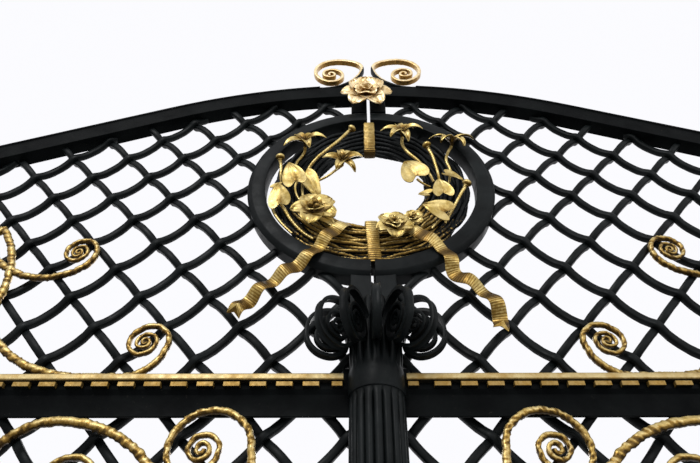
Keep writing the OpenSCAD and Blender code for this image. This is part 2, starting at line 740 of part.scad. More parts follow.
// Hinge eyes on straps welded to the hinge stile's front
module hinge_eyes() {
    color(paint) for (z = hinge_z) difference() {
        union() {
            translate([axis_x, axis_y, z]) cylinder(r = eye_r, h = eye_h);
            block(edge_out - stile_w + pin_r / 2, axis_x, front_y - strap_t, front_y, z, z + eye_h);
            block(axis_x - eye_r / 2, axis_x, axis_y, front_y, z, z + eye_h);
        }
        translate([axis_x, axis_y, z - 1]) cylinder(r = pin_r + pin_clear, h = eye_h + 2);
    }
}

left_side() post();  // left_post
right_side() post();  // right_post
left_side() pintles();  // left_pintles
right_side() pintles();  // right_pintles
sill();
left_side() hinge_stile();  // left_hinge_stile
left_side() meeting_stile();  // left_meeting_stile
left_side() arch_rail();  // left_arch_rail
left_side() mid_rail();  // left_mid_rail
left_side() cornice();  // left_cornice
left_side() bottom_rail();  // left_bottom_rail
left_side() ring();  // left_ring
left_side() upper_bars();  // left_upper_bars
left_side() upper_crimped_bars();  // left_upper_crimped_bars
left_side() lower_bars();  // left_lower_bars
left_side() lower_crimped_bars();  // left_lower_crimped_bars
left_side() upper_scrolls();  // left_upper_scrolls
left_side() lower_scrolls();  // left_lower_scrolls
left_side() finial();  // left_finial
left_side() wreath_vines();  // left_wreath_vines
place() left_flowers();  // left_wreath_flowers
left_side() left_ribbon();
left_side() hinge_eyes();  // left_hinge_eyes
right_side() hinge_stile();  // right_hinge_stile
right_side() meeting_stile();  // right_meeting_stile
right_side() arch_rail();  // right_arch_rail
right_side() mid_rail();  // right_mid_rail
right_side() cornice();  // right_cornice
right_side() bottom_rail();  // right_bottom_rail
right_side() ring();  // right_ring
right_side() upper_bars();  // right_upper_bars
right_side() upper_crimped_bars();  // right_upper_crimped_bars
right_side() lower_bars();  // right_lower_bars
right_side() lower_crimped_bars();  // right_lower_crimped_bars
right_side() upper_scrolls();  // right_upper_scrolls
right_side() lower_scrolls();  // right_lower_scrolls
right_side() finial();  // right_finial
right_side() wreath_vines();  // right_wreath_vines
place() right_flowers();  // right_wreath_flowers
right_side() right_ribbon();
right_side() hinge_eyes();  // right_hinge_eyes
column();
capital();
bands();  // wreath_bands
top_flower();
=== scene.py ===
"""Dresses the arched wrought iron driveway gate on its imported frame.

Each sub-assembly is a class that holds its sizes and builds its meshes. Lengths are
millimetres from the gate's centre line: x along the gate from the slit, y from the street
side to the back, z up. A mesh is turned into metres in the frame's place as it is made.
"""

import logging
import math
from dataclasses import dataclass, field
from enum import Enum

import bmesh
import bpy
import numpy as np
from mathutils import Matrix

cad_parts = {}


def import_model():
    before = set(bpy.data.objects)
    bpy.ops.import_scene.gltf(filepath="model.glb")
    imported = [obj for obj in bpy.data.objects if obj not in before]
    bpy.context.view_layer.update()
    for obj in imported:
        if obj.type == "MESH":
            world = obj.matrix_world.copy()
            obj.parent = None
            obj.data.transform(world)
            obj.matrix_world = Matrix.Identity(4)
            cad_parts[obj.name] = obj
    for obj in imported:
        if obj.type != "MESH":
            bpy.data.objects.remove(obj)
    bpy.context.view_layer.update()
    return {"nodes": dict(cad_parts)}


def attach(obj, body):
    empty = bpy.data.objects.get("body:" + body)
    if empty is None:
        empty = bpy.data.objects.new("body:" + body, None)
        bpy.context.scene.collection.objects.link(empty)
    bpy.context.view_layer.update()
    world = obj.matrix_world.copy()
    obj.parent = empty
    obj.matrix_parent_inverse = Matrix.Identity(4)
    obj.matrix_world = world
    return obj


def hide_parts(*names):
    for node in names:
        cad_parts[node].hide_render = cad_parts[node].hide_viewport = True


LOG = logging.getLogger("gate")
SLIT_X = 1980.0
MM = 0.001
PAINT_SLOT = "painted_iron"
GILT_SLOT = "gilded_metal"

Array = np.ndarray
Thing = bpy.types.Object
Material = bpy.types.Material
Socket = bpy.types.NodeSocket
Colour = tuple[float, float, float]
Point = tuple[float, float, float]
Pair = tuple[float, float]
Path = tuple[Array, Array]
Seat = tuple[Point, Point]
Grid = tuple[int, int]


class Leaf(Enum):
    """The two leaves: the sign of x on each, and its body in the frame."""

    LEFT = "left"
    RIGHT = "right"

    @property
    def sign(self) -> float:
        """Which way x runs on this leaf."""
        return -1.0 if self is Leaf.LEFT else 1.0

    @property
    def body(self) -> str:
        """The body that this leaf's pieces ride on."""
        return f"{self.value}_leaf"

    def named(self, part: str) -> str:
        """A part's name with the leaf's in front."""
        return f"{self.value}_{part}"


class Outline(Enum):
    """Outlines that a petal or leaf is cut to."""

    POINTED = "pointed"
    ROUND = "round"
    HEART = "heart"


# Shaping tools


def smooth_noise(along: Array, around: Array, seed: int, waves: tuple[float, ...]) -> Array:
    """Uneven, repeatable relief over a surface.

    The sum over the wave lengths of sin(2 pi along / wave + k around + phase), where k is a
    small whole number and the phases come from the seed, divided by the number of waves.

    Args:
        along: Distance along the piece, one value per station or per point.
        around: Angle around the section in radians, broadcast against along.
        seed: Number that fixes the phases.
        waves: Wave lengths in the unit of along.

    Returns:
        Relief between about -1 and 1.
    """
    rng = np.random.default_rng(seed)
    total = 0.0
    for wave in waves:
        k = int(rng.integers(0, 3))
        stretch = float(rng.uniform(0.85, 1.15))
        total = total + np.sin(2 * np.pi * along / (wave * stretch) + k * around + rng.uniform(0, 6.3))
    return total / len(waves)


def arc_path(start: Pair, heading: float, parts: list[Pair], step: float) -> Path:
    """A line of straight runs and arcs that join without a corner.

    On an arc of radius r that turns by a, a point is the centre minus r times the unit vector
    to the left of the heading there; the heading grows evenly from its start by a.

    Args:
        start: First point, in x and z.
        heading: First direction in degrees from +x.
        parts: Radius and turn in degrees of each part; a turn of 0 runs straight that far.
        step: Longest distance between two points.

    Returns:
        The points, one row each, and the headings in radians.
    """
    p, h = np.array(start, float), math.radians(heading)
    points, angles = [p[None]], [np.array([h])]
    for radius, turn in parts:
        length = radius if turn == 0 else radius * abs(math.radians(turn))
        t = np.linspace(0, 1, max(3, int(length / step)) + 1)[1:]
        if turn == 0:
            a = np.full(t.size, h)
            q = p + np.outer(t * radius, [math.cos(h), math.sin(h)])
        else:
            s = math.copysign(1, turn)
            centre = p + s * radius * np.array([-math.sin(h), math.cos(h)])
            a = h + t * math.radians(turn)
            q = centre - s * radius * np.stack([-np.sin(a), np.cos(a)], 1)
        points.append(q)
        angles.append(a)
        p, h = q[-1], float(a[-1])
    return np.concatenate(points), np.concatenate(angles)


def distance_along(points: Array) -> Array:
    """Running length of a line of points, from 0 at the first."""
    return np.concatenate([[0.0], np.cumsum(np.linalg.norm(np.diff(points, axis=0), axis=1))])


def unit(v: Array) -> Array:
    """Vectors scaled to length 1 along the last axis."""
    return v / np.maximum(np.linalg.norm(v, axis=-1, keepdims=True), 1e-9)


def rounded_square(count: int, power: float) -> tuple[Array, Array]:
    """Unit section between a circle and a square.

    A point at angle a is (sign(cos a) |cos a|^power, sign(sin a) |sin a|^power), so power 1
    gives a circle and a small power a square with soft corners.

    Args:
        count: Points around the section.
        power: Squareness, from 1 to about 0.3.

    Returns:
        The points, one row each, and their angles.
    """
    a = (np.arange(count) + 0.5) * 2 * np.pi / count
    c, s = np.cos(a), np.sin(a)
    return np.stack([np.sign(c) * np.abs(c) ** power, np.sign(s) * np.abs(s) ** power], 1), a


def sweep(points: Array, side: Array, up: Array, section: Array) -> Array:
    """Rings of a section carried along a line.

    Ring i is point i plus section x times side i plus section y times up i.

    Args:
        points: Line, one row per station.
        side: Direction of the section's x at each station.
        up: Direction of the section's y at each station.
        section: Section points, either shared or one set per station.

    Returns:
        Rings shaped stations, section points, 3.
    """
    section = np.broadcast_to(section, (len(points),) + section.shape[-2:])
    return points[:, None] + section[..., :1] * side[:, None] + section[..., 1:] * up[:, None]


def curve_through(marks: list[Point], count: int) -> Array:
    """A smooth line through a few marks.

    Between two marks it is the cubic whose end slopes are half the difference of the marks on
    either side of each end.

    Args:
        marks: Points that the line passes through.
        count: Points of the line.

    Returns:
        The line, one row per point.
    """
    m = np.array(marks, float)
    ends = np.concatenate([[2 * m[0] - m[1]], m, [2 * m[-1] - m[-2]]])
    t = np.linspace(0, len(m) - 1 - 1e-9, count)
    i = t.astype(int)
    f = (t - i)[:, None]
    a, b, c, d = ends[i], ends[i + 1], ends[i + 2], ends[i + 3]
    return b + 0.5 * f * (c - a + f * (2 * a - 5 * b + 4 * c - d + f * (3 * (b - c) + d - a)))


def upright_line(flat: Array, y: float | Array) -> Array:
    """A line drawn in x and z, stood at depth y."""
    return np.stack([flat[:, 0], np.broadcast_to(y, len(flat)), flat[:, 1]], 1)


def half_turns(radius: float, *shares: float) -> list[Pair]:
    """Half circles to the right, one after another, with these shares of a radius."""
    return [(radius * share, -180) for share in shares]


def left_of(heading: Array) -> Array:
    """The direction to the left of each heading, in the gate's plane."""
    return np.stack([-np.sin(heading), 0 * heading, np.cos(heading)], 1)


def straight_back(line: Array) -> Array:
    """The direction from front to back, once for each point of a line."""
    return np.broadcast_to([0.0, 1.0, 0.0], line.shape)


def half_sizes(first: Array, second: Array, count: int) -> Array:
    """Half of two sizes at each station, repeated for count section points."""
    return np.stack([np.repeat(size[:, None] / 2, count, 1) for size in (first, second)], -1)


def upright_block(x: Pair, y: Pair, levels: Array) -> Array:
    """Rings of a block between two x and two y, one ring at each level.

    Args:
        x: Least and greatest x.
        y: Least and greatest y.
        levels: Height of each ring.

    Returns:
        Rings shaped levels, 4, 3.
    """
    corners = np.array([[x[0], y[0]], [x[1], y[0]], [x[1], y[1]], [x[0], y[1]]], float)
    plan = np.broadcast_to(corners, (len(levels), 4, 2))
    return np.concatenate([plan, np.broadcast_to(levels[:, None, None], (len(levels), 4, 1))], -1)


def facing(rings: Array, at: Point, axis: Point, spin: float) -> Array:
    """Stands local points at a place, with local z along an axis.

    Args:
        rings: Points whose last axis is x, y and z.
        at: Where the local origin goes.
        axis: Direction of local z.
        spin: Turn about local z in degrees, applied first: 0 points right and 90 up.

    Returns:
        The moved points.
    """
    z = unit(np.array(axis, float))
    x = unit(np.array([1.0, 0.0, 0.0]) - z * z[0])
    y = np.cross(z, x)
    s = math.radians(spin)
    turn = np.array([[math.cos(s), math.sin(s), 0], [-math.sin(s), math.cos(s), 0], [0, 0, 1]])
    return rings @ turn @ np.stack([x, y, z]) + np.array(at, float)


class Shell:
    """Closed surfaces gathered into one mesh, with the share of gilding and of soil and painted shade per
    point.
    """

    def __init__(self, lift: float = 0.0) -> None:
        """Starts with no surface; all that is added is raised by lift."""
        self.lift = lift
        self.points: list[Array] = []
        self.quads: list[Array] = []
        self.tris: list[Array] = []
        self.gild: list[Array] = []
        self.soil_and_shade: list[Array] = []
        self.count = 0

    def add(self, rings: Array, gild: Array | float = 1.0, soil_and_shade: Array | float = 0.0) -> None:
        """Adds one closed tube made of rings.

        Each pair of neighbouring points on two neighbouring rings gives a quad, and a fan of
        triangles to the ring's middle closes each end. The volume, the sum over triangles of
        a . (b x c) / 6, tells whether the faces point inwards, and they are turned if so.

        Args:
            rings: Rings shaped stations, points, 3.
            gild: Share of gilding, one number or one per ring point.
            soil_and_shade: Share of brown soil and painted shade in hollows, given in the same way.
        """
        m, n = rings.shape[:2]
        rings = rings + [0, 0, self.lift]
        grid = np.arange(m * n).reshape(m, n)
        near, far = grid[:-1], grid[1:]
        quads = np.stack([near, np.roll(near, -1, 1), np.roll(far, -1, 1), far], -1).reshape(-1, 4)
        fans = [
            np.stack([np.roll(grid[0], -1), grid[0], np.full(n, m * n)], 1),
            np.stack([grid[-1], np.roll(grid[-1], -1), np.full(n, m * n + 1)], 1),
        ]
        tris = np.concatenate(fans)
        verts = np.concatenate([rings.reshape(-1, 3), rings[[0, -1]].mean(1)])
        halves = np.concatenate([quads[:, :3], quads[:, [0, 2, 3]], tris])
        a, b, c = (verts[halves[:, k]] - verts.mean(0) for k in range(3))
        if np.einsum("ij,ij->", a, np.cross(b, c)) < 0:
            quads, tris = quads[:, ::-1], tris[:, ::-1]
        for store, share in ((self.gild, gild), (self.soil_and_shade, soil_and_shade)):
            full = np.broadcast_to(share, (m, n))
            store.append(np.concatenate([full.ravel(), full[[0, -1]].mean(1)]))
        self.points.append(verts)
        self.quads.append(quads + self.count)
        self.tris.append(tris + self.count)
        self.count += len(verts)

    def place(self, side: float) -> Array:
        """All points in metres in the frame, mirrored at the slit if side is -1."""
        points = np.concatenate(self.points)
        return (points * [side, 1, 1] + [SLIT_X, 0, 0]) * MM

    def make(self, name: str, finish: Material, side: float, crease: float) -> Thing:
        """Makes the mesh object.

        Args:
            name: Name of the piece.
            finish: Its material.
            side: 1 as it is, -1 mirrored at the slit.
            crease: Edges sharper than this angle in degrees stay sharp.

        Returns:
            The new object, at the origin.
        """
        verts = self.place(side)
        quads, tris = np.concatenate(self.quads), np.concatenate(self.tris)
        if side < 0:
            quads, tris = quads[:, ::-1], tris[:, ::-1]
        mesh = bpy.data.meshes.new(name)
        loops = np.concatenate([quads.ravel(), tris.ravel()])
        sizes = np.concatenate([np.full(len(quads), 4), np.full(len(tris), 3)])
        mesh.vertices.add(len(verts))
        mesh.loops.add(len(loops))
        mesh.polygons.add(len(sizes))
        mesh.vertices.foreach_set("co", verts.ravel())
        mesh.loops.foreach_set("vertex_index", loops)
        mesh.polygons.foreach_set("loop_start", np.concatenate([[0], np.cumsum(sizes)[:-1]]))
        mesh.polygons.foreach_set("use_smooth", np.ones(len(sizes), bool))
        mesh.update(calc_edges=True)
        mesh.validate()
        mesh.set_sharp_from_angle(angle=math.radians(crease))
        store_shares(mesh, np.concatenate(self.gild), np.concatenate(self.soil_and_shade))
        mesh.materials.append(finish)
        return linked(name, mesh)

    def turned(
        self, profile: list[Pair], scale: float, seat: Seat, count: int = 14, soil_and_shade: float = 0.0
    ) -> None:
        """Adds a knob: at angle a, a profile point of radius r lies at r cos a, r sin a.

        Args:
            profile: Radius and height of each ring.
            scale: Factor on the profile.
            seat: Place of its height 0, and its axis.
            count: Points round it.
            soil_and_shade: Share of brown soil and painted shade.
        """
        a = np.arange(count) * 2 * np.pi / count
        size = np.array(profile, float) * scale
        radius, height = size[:, :1], size[:, 1:]
        rings = np.stack([radius * np.cos(a), radius * np.sin(a), height + 0 * a], -1)
        self.add(facing(rings, *seat, 0), 1.0, soil_and_shade)

    def fit(self, leaf: Leaf, name: str, finish: Material, crease: float, slot: str, node: str) -> None:
        """Makes the piece for a leaf, mirrored on the left one, and hands it to the frame.

        Args:
            leaf: Which leaf.
            name: Name of the piece, without the leaf's.
            finish: Its material.
            crease: Edges sharper than this angle in degrees stay sharp.
            slot: The record's slot of that material.
            node: Node that it stands for, without the leaf's name.
        """
        piece = self.make(leaf.named(name), finish, leaf.sign, crease)
        settle(piece, leaf.body, slot, leaf.named(node))


def linked(name: str, data: bpy.types.ID) -> Thing:
    """Makes an object and links it to the scene.

    Args:
        name: Its name.
        data: Its mesh, camera or lamp.

    Returns:
        The object.
    """
    thing = bpy.data.objects.new(name, data)
    bpy.context.scene.collection.objects.link(thing)
    return thing


def store_shares(mesh: bpy.types.Mesh, gild: Array | float, soil_and_shade: Array | float) -> None:
    """Writes the attributes that the finishes read.

    Args:
        mesh: Mesh to write to.
        gild: Share of gilding per vertex.
        soil_and_shade: Share of brown soil and painted shade per vertex.
    """
    for name, values in (("gild", gild), ("soil_and_shade", soil_and_shade)):
        layer = mesh.attributes.new(name, "FLOAT", "POINT")
        full = np.broadcast_to(values, len(mesh.vertices))
        layer.data.foreach_set("value", np.ascontiguousarray(full, np.float32))


def settle(piece: Thing, body: str, slot: str, *nodes: str) -> None:
    """Hands a finished piece to the frame.

    Args:
        piece: The piece.
        body: Body that it rides on.
        slot: The record's slot of its material; not used.
        *nodes: Nodes that it stands for.
    """
    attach(piece, body)
    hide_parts(*nodes)
    LOG.info("%s: %d faces", piece.name, len(piece.data.polygons))


# Finishes


class Graph:
    """A material's node tree, with short calls for the nodes that the finishes share."""

    def __init__(self, name: str) -> None:
        """Starts a material that holds one Principled shader."""
        self.material = bpy.data.materials.new(name)
        self.material.use_nodes = True
        self.tree = self.material.node_tree
        self.shader = self.tree.nodes["Principled BSDF"]

    def link(self, source: Socket, target: Socket) -> None:
        """Joins two sockets."""
        self.tree.links.new(source, target)

    def noise(self, scale: float, detail: float, rough: float) -> Socket:
        """Noise over object coordinates.

        Args:
            scale: Cells to a metre.
            detail: How many finer layers it has.
            rough: Weight of each finer layer.

        Returns:
            The noise, between 0 and 1.
        """
        place = self.tree.nodes.new("ShaderNodeTexCoord")
        node = self.tree.nodes.new("ShaderNodeTexNoise")
        node.inputs["Scale"].default_value = scale
        node.inputs["Detail"].default_value = detail
        node.inputs["Roughness"].default_value = rough
        self.link(place.outputs["Object"], node.inputs["Vector"])
        return node.outputs["Fac"]

    def ramp(self, value: Socket, low: float, high: float, dark: float, light: float) -> Socket:
        """Maps low..high to dark..light, held at both ends.

        Args:
            value: Number that is mapped.
            low: Value that gives dark.
            high: Value that gives light.
            dark: Result at low.
            light: Result at high.

        Returns:
            The mapped number.
        """
        node = self.tree.nodes.new("ShaderNodeMapRange")
        for key, number in (("From Min", low), ("From Max", high), ("To Min", dark), ("To Max", light)):
            node.inputs[key].default_value = number
        self.link(value, node.inputs["Value"])
        return node.outputs["Result"]

    def mix(self, share: Socket, first: Socket | Colour, second: Socket | Colour) -> Socket:
        """Blends two colours.

        Args:
            share: How much of the second, from 0 to 1.
            first: Colour at 0, a socket or a constant.
            second: Colour at 1, in the same way.

        Returns:
            The blended colour.
        """
        node = self.tree.nodes.new("ShaderNodeMix")
        node.data_type = "RGBA"
        self.link(share, node.inputs[0])
        for socket, colour in ((node.inputs[6], first), (node.inputs[7], second)):
            if isinstance(colour, tuple):
                socket.default_value = (*colour, 1)
            else:
                self.link(colour, socket)
        return node.outputs[2]

    def blend(self, share: Socket, first: Socket, second: Socket) -> Socket:
        """Blends two numbers.

        Args:
            share: How much of the second, from 0 to 1.
            first: Number at 0.
            second: Number at 1.

        Returns:
            The blended number.
        """
        node = self.tree.nodes.new("ShaderNodeMix")
        self.link(share, node.inputs[0])
        self.link(first, node.inputs[2])
        self.link(second, node.inputs[3])
        return node.outputs[0]

    def sum(self, first: Socket, second: Socket, weight: float) -> Socket:
        """First plus weight times second, held between 0 and 1.

        Args:
            first: Number that counts in full.
            second: Number that is added.
            weight: How much of it is added.

        Returns:
            The sum.
        """
        node = self.tree.nodes.new("ShaderNodeMath")
        node.operation = "MULTIPLY_ADD"
        node.use_clamp = True
        self.link(second, node.inputs[0])
        node.inputs[1].default_value = weight
        self.link(first, node.inputs[2])
        return node.outputs[0]

    def attribute(self, name: str) -> Socket:
        """A mesh attribute's value.

        Args:
            name: Name of the attribute.

        Returns:
            Its value.
        """
        node = self.tree.nodes.new("ShaderNodeAttribute")
        node.attribute_name = name
        return node.outputs["Fac"]

    def facing_up(self) -> Socket:
        """Height of the surface's normal.

        Returns:
            1 on tops, 0 on upright faces and -1 on undersides.
        """
        place = self.tree.nodes.new("ShaderNodeNewGeometry")
        parts = self.tree.nodes.new("ShaderNodeSeparateXYZ")
        self.link(place.outputs["Normal"], parts.inputs[0])
        return parts.outputs["Z"]

    def bump(self, height: Socket, depth: float, strength: float) -> None:
        """Shades the surface as if it were raised.

        Args:
            height: Height from 0 to 1.
            depth: Metres that 1 stands for.
            strength: Share of the effect.
        """
        node = self.tree.nodes.new("ShaderNodeBump")
        node.inputs["Strength"].default_value = strength
        node.inputs["Distance"].default_value = depth
        self.link(height, node.inputs["Height"])
        self.link(node.outputs["Normal"], self.shader.inputs["Normal"])


@dataclass(frozen=True)
class SatinPaint:
    """Charcoal paint brushed over forged iron: soft sheen, faint dust and a few worn spots."""

    deep: Colour = (0.0022, 0.0031, 0.0033)
    dusty: Colour = (0.0075, 0.0095, 0.0098)
    worn: Colour = (0.030, 0.027, 0.022)
    gloss: float = 0.085

    def colour(self, graph: Graph) -> Socket:
        """Paint colour: dust in broad clouds, worn spots where fine noise peaks.

        Args:
            graph: Nodes that it is made of.

        Returns:
            The colour.
        """
        dust = graph.ramp(graph.noise(9, 5, 0.6), 0.42, 0.66, 0, 1)
        spots = graph.ramp(graph.noise(95, 4, 0.7), 0.66, 0.76, 0, 0.65)
        return graph.mix(spots, graph.mix(dust, self.deep, self.dusty), self.worn)

    def rough(self, graph: Graph) -> Socket:
        """Roughness from 0.34 on clean paint to 0.56 on dusty paint."""
        return graph.ramp(graph.noise(22, 4, 0.6), 0.35, 0.68, 0.34, 0.56)

    def make(self, name: str) -> Material:
        """The paint alone, with the shallow unevenness of brushed forged iron.

        Args:
            name: Name of the material.

        Returns:
            The material.
        """
        graph = Graph(name)
        graph.link(self.colour(graph), graph.shader.inputs["Base Color"])
        graph.link(self.rough(graph), graph.shader.inputs["Roughness"])
        graph.shader.inputs["Specular IOR Level"].default_value = self.gloss
        graph.bump(graph.sum(graph.noise(60, 3, 0.5), graph.noise(420, 2, 0.5), 0.18), 0.0012, 0.35)
        return graph.material


@dataclass(frozen=True)
class Gilding:
    """Gold paint over black: clouds of cream and gold, with brown soil and painted shade in hollows, and
    painted shade from amber to brown on faces that look down.

    The three numbers of shade are the height of the normal where the painted shade starts, the height
    where it is complete, and its strength there. With shade_underside_black the undersides show the
    black paint as painted shade, and rough is the roughness of smooth and of worn gilding.
    """

    cream: Colour = (0.66, 0.52, 0.215)
    gold: Colour = (0.41, 0.285, 0.068)
    amber: Colour = (0.215, 0.122, 0.020)
    brown: Colour = (0.046, 0.024, 0.003)
    shade: tuple[float, float, float] = (0.0, -0.95, 0.62)
    shade_underside_black: bool = False
    rough: Pair = (0.28, 0.48)
    paint: SatinPaint = field(default_factory=SatinPaint)

    def colour(self, graph: Graph) -> Socket:
        """Cream to gold by cloudy noise, then to amber and brown by the soil_and_shade attribute and by
        painted shade on faces that look down.

        Args:
            graph: Nodes that it is made of.

        Returns:
            The colour.
        """
        cloud = graph.ramp(graph.noise(38, 5, 0.62), 0.40, 0.66, 0, 1)
        base = graph.mix(cloud, self.cream, self.gold)
        # painted shade: the gold browns the further the surface faces down
        below = graph.ramp(graph.facing_up(), self.shade[0], self.shade[1], 0, self.shade[2])
        grain = graph.ramp(graph.noise(130, 4, 0.7), 0.3, 0.7, -0.16, 0.16)
        painted_shade_and_soil = graph.sum(graph.sum(below, grain, 1.0), graph.attribute("soil_and_shade"), 0.95)
        middle = graph.mix(graph.ramp(painted_shade_and_soil, 0.10, 0.50, 0, 1), base, self.amber)
        return graph.mix(graph.ramp(painted_shade_and_soil, 0.48, 0.92, 0, 1), middle, self.brown)

    def make(self, name: str) -> Material:
        """Gilding over the paint, as far as the gild attribute says, with chips at its edge.

        Args:
            name: Name of the material.

        Returns:
            The material.
        """
        graph = Graph(name)
        share = graph.attribute("gild")
        chips = graph.ramp(graph.noise(160, 4, 0.7), 0.3, 0.7, -0.5, 0.5)
        cover = graph.ramp(graph.sum(share, chips, 0.5), 0.36, 0.52, 0, 1)
        # painted shade: undersides lose the gilding and show the black paint
        if self.shade_underside_black:
            under = graph.ramp(graph.facing_up(), -0.9, -0.6, 1, 0)
            cover = graph.blend(under, cover, graph.ramp(share, 0, 1, 0, 0.04))
        colour = graph.mix(cover, self.paint.colour(graph), self.colour(graph))
        graph.link(colour, graph.shader.inputs["Base Color"])
        graph.link(graph.ramp(cover, 0, 1, 0, 0.66), graph.shader.inputs["Metallic"])
        gloss = graph.ramp(graph.noise(70, 4, 0.6), 0.35, 0.68, *self.rough)
        graph.link(graph.blend(cover, self.paint.rough(graph), gloss), graph.shader.inputs["Roughness"])
        graph.link(graph.ramp(cover, 0, 1, 0.11, 0.3), graph.shader.inputs["Specular IOR Level"])
        graph.bump(graph.sum(graph.noise(90, 3, 0.5), graph.noise(500, 2, 0.5), 0.2), 0.0014, 0.5)
        return graph.material


# Sub-assemblies


@dataclass
class ArchLine:
    """The top edge of a leaf: an arc at the crown, a straight slope and a counter arc at the post."""

    height: float = 3222.0
    radius: float = 1617.0
    slope: float = 22.4
    end: float = 1860.0

    def top(self, x: Array) -> Array:
        """Height of the arch above x: circle, line and mirrored circle, each met at its slope.

        Args:
            x: Distances from the slit.

        Returns:
            Height above each of them.
        """
        s = math.radians(self.slope)
        bend = self.radius * math.sin(s)
        low = self.height - 2 * self.radius * (1 - math.cos(s)) - math.tan(s) * (self.end - 2 * bend)
        crown = self.height - self.radius + np.sqrt(self.radius**2 - np.clip(x, 0, bend) ** 2)
        line = self.height - self.radius * (1 - math.cos(s)) - math.tan(s) * (x - bend)
        sweep_out = low + self.radius - np.sqrt(self.radius**2 - np.clip(self.end - x, 0, bend) ** 2)
        return np.where(x < bend, crown, np.where(x < self.end - bend, line, sweep_out))

    def slope_at(self, x: Array) -> Array:
        """Downward slope of the arch at x, in radians.

        Args:
            x: Distances from the slit.

        Returns:
            Slope at each of them.
        """
        inner = np.arcsin(np.clip(x / self.radius, 0, 1))
        outer = np.arcsin(np.clip((self.end - x) / self.radius, 0, 1))
        return np.minimum(np.minimum(inner, outer), math.radians(self.slope))


@dataclass
class Medallion:
    """The round ring at the crown, half on each leaf."""

    centre_z: float = 2743.0
    outer: float = 332.0
    inner: float = 284.0
    front: float = -16.0
    back: float = 32.0
    edge_in: float = 5.0

    def half_ring(self, profile: Array, turns: int) -> Array:
        """Rings of a profile turned round the medallion's axis, cut at the slit.

        A profile point at radius r goes round from -acos(e / r) to acos(e / r), where e is
        the half width of the slit, so that both ends lie on the plane x = e.

        Args:
            profile: Radius and depth of each point, in order round the section.
            turns: Stations from end to end.

        Returns:
            Rings shaped stations, profile points, 3.
        """
        r, y = profile[:, 0], profile[:, 1]
        a = np.linspace(-1, 1, turns)[:, None] * np.arccos(self.edge_in / r)[None]
        return np.stack([r * np.cos(a), np.broadcast_to(y, a.shape), self.centre_z + r * np.sin(a)], -1)

    def profile(self) -> Array:
        """Section: a flat back, a rounded inner arris, a broad face and a chamfered outer edge.

        Returns:
            Radius and depth of each corner, one row each.
        """
        f, b, i, o = self.front, self.back, self.inner, self.outer
        corners = [
            (i, b - 1.5), (i, f + 3.2), (i + 0.9, f + 0.9), (i + 3.2, f), (i + 16, f + 0.5),
            (o - 15, f + 0.2), (o - 11.5, f + 1.2), (o - 1.8, f + 8.6), (o, f + 11.5),
            (o, b - 1.5), (o - 1.5, b), (i + 1.5, b),
        ]
        return np.array(corners)

    def build(self, paint: Material) -> None:
        """Makes both half rings.

        Args:
            paint: Finish of both halves.
        """
        shell = Shell()
        rings = self.half_ring(self.profile(), 150)
        angle = np.arctan2(rings[..., 2] - self.centre_z, rings[..., 0])
        rings[..., 1] += 0.35 * smooth_noise(angle * 300, rings[..., 1] * 0, 5, (90.0, 47.0, 31.0))
        shell.add(rings, 0.0)
        for leaf in Leaf:
            shell.fit(leaf, "medallion_ring", paint, 28, PAINT_SLOT, "ring")


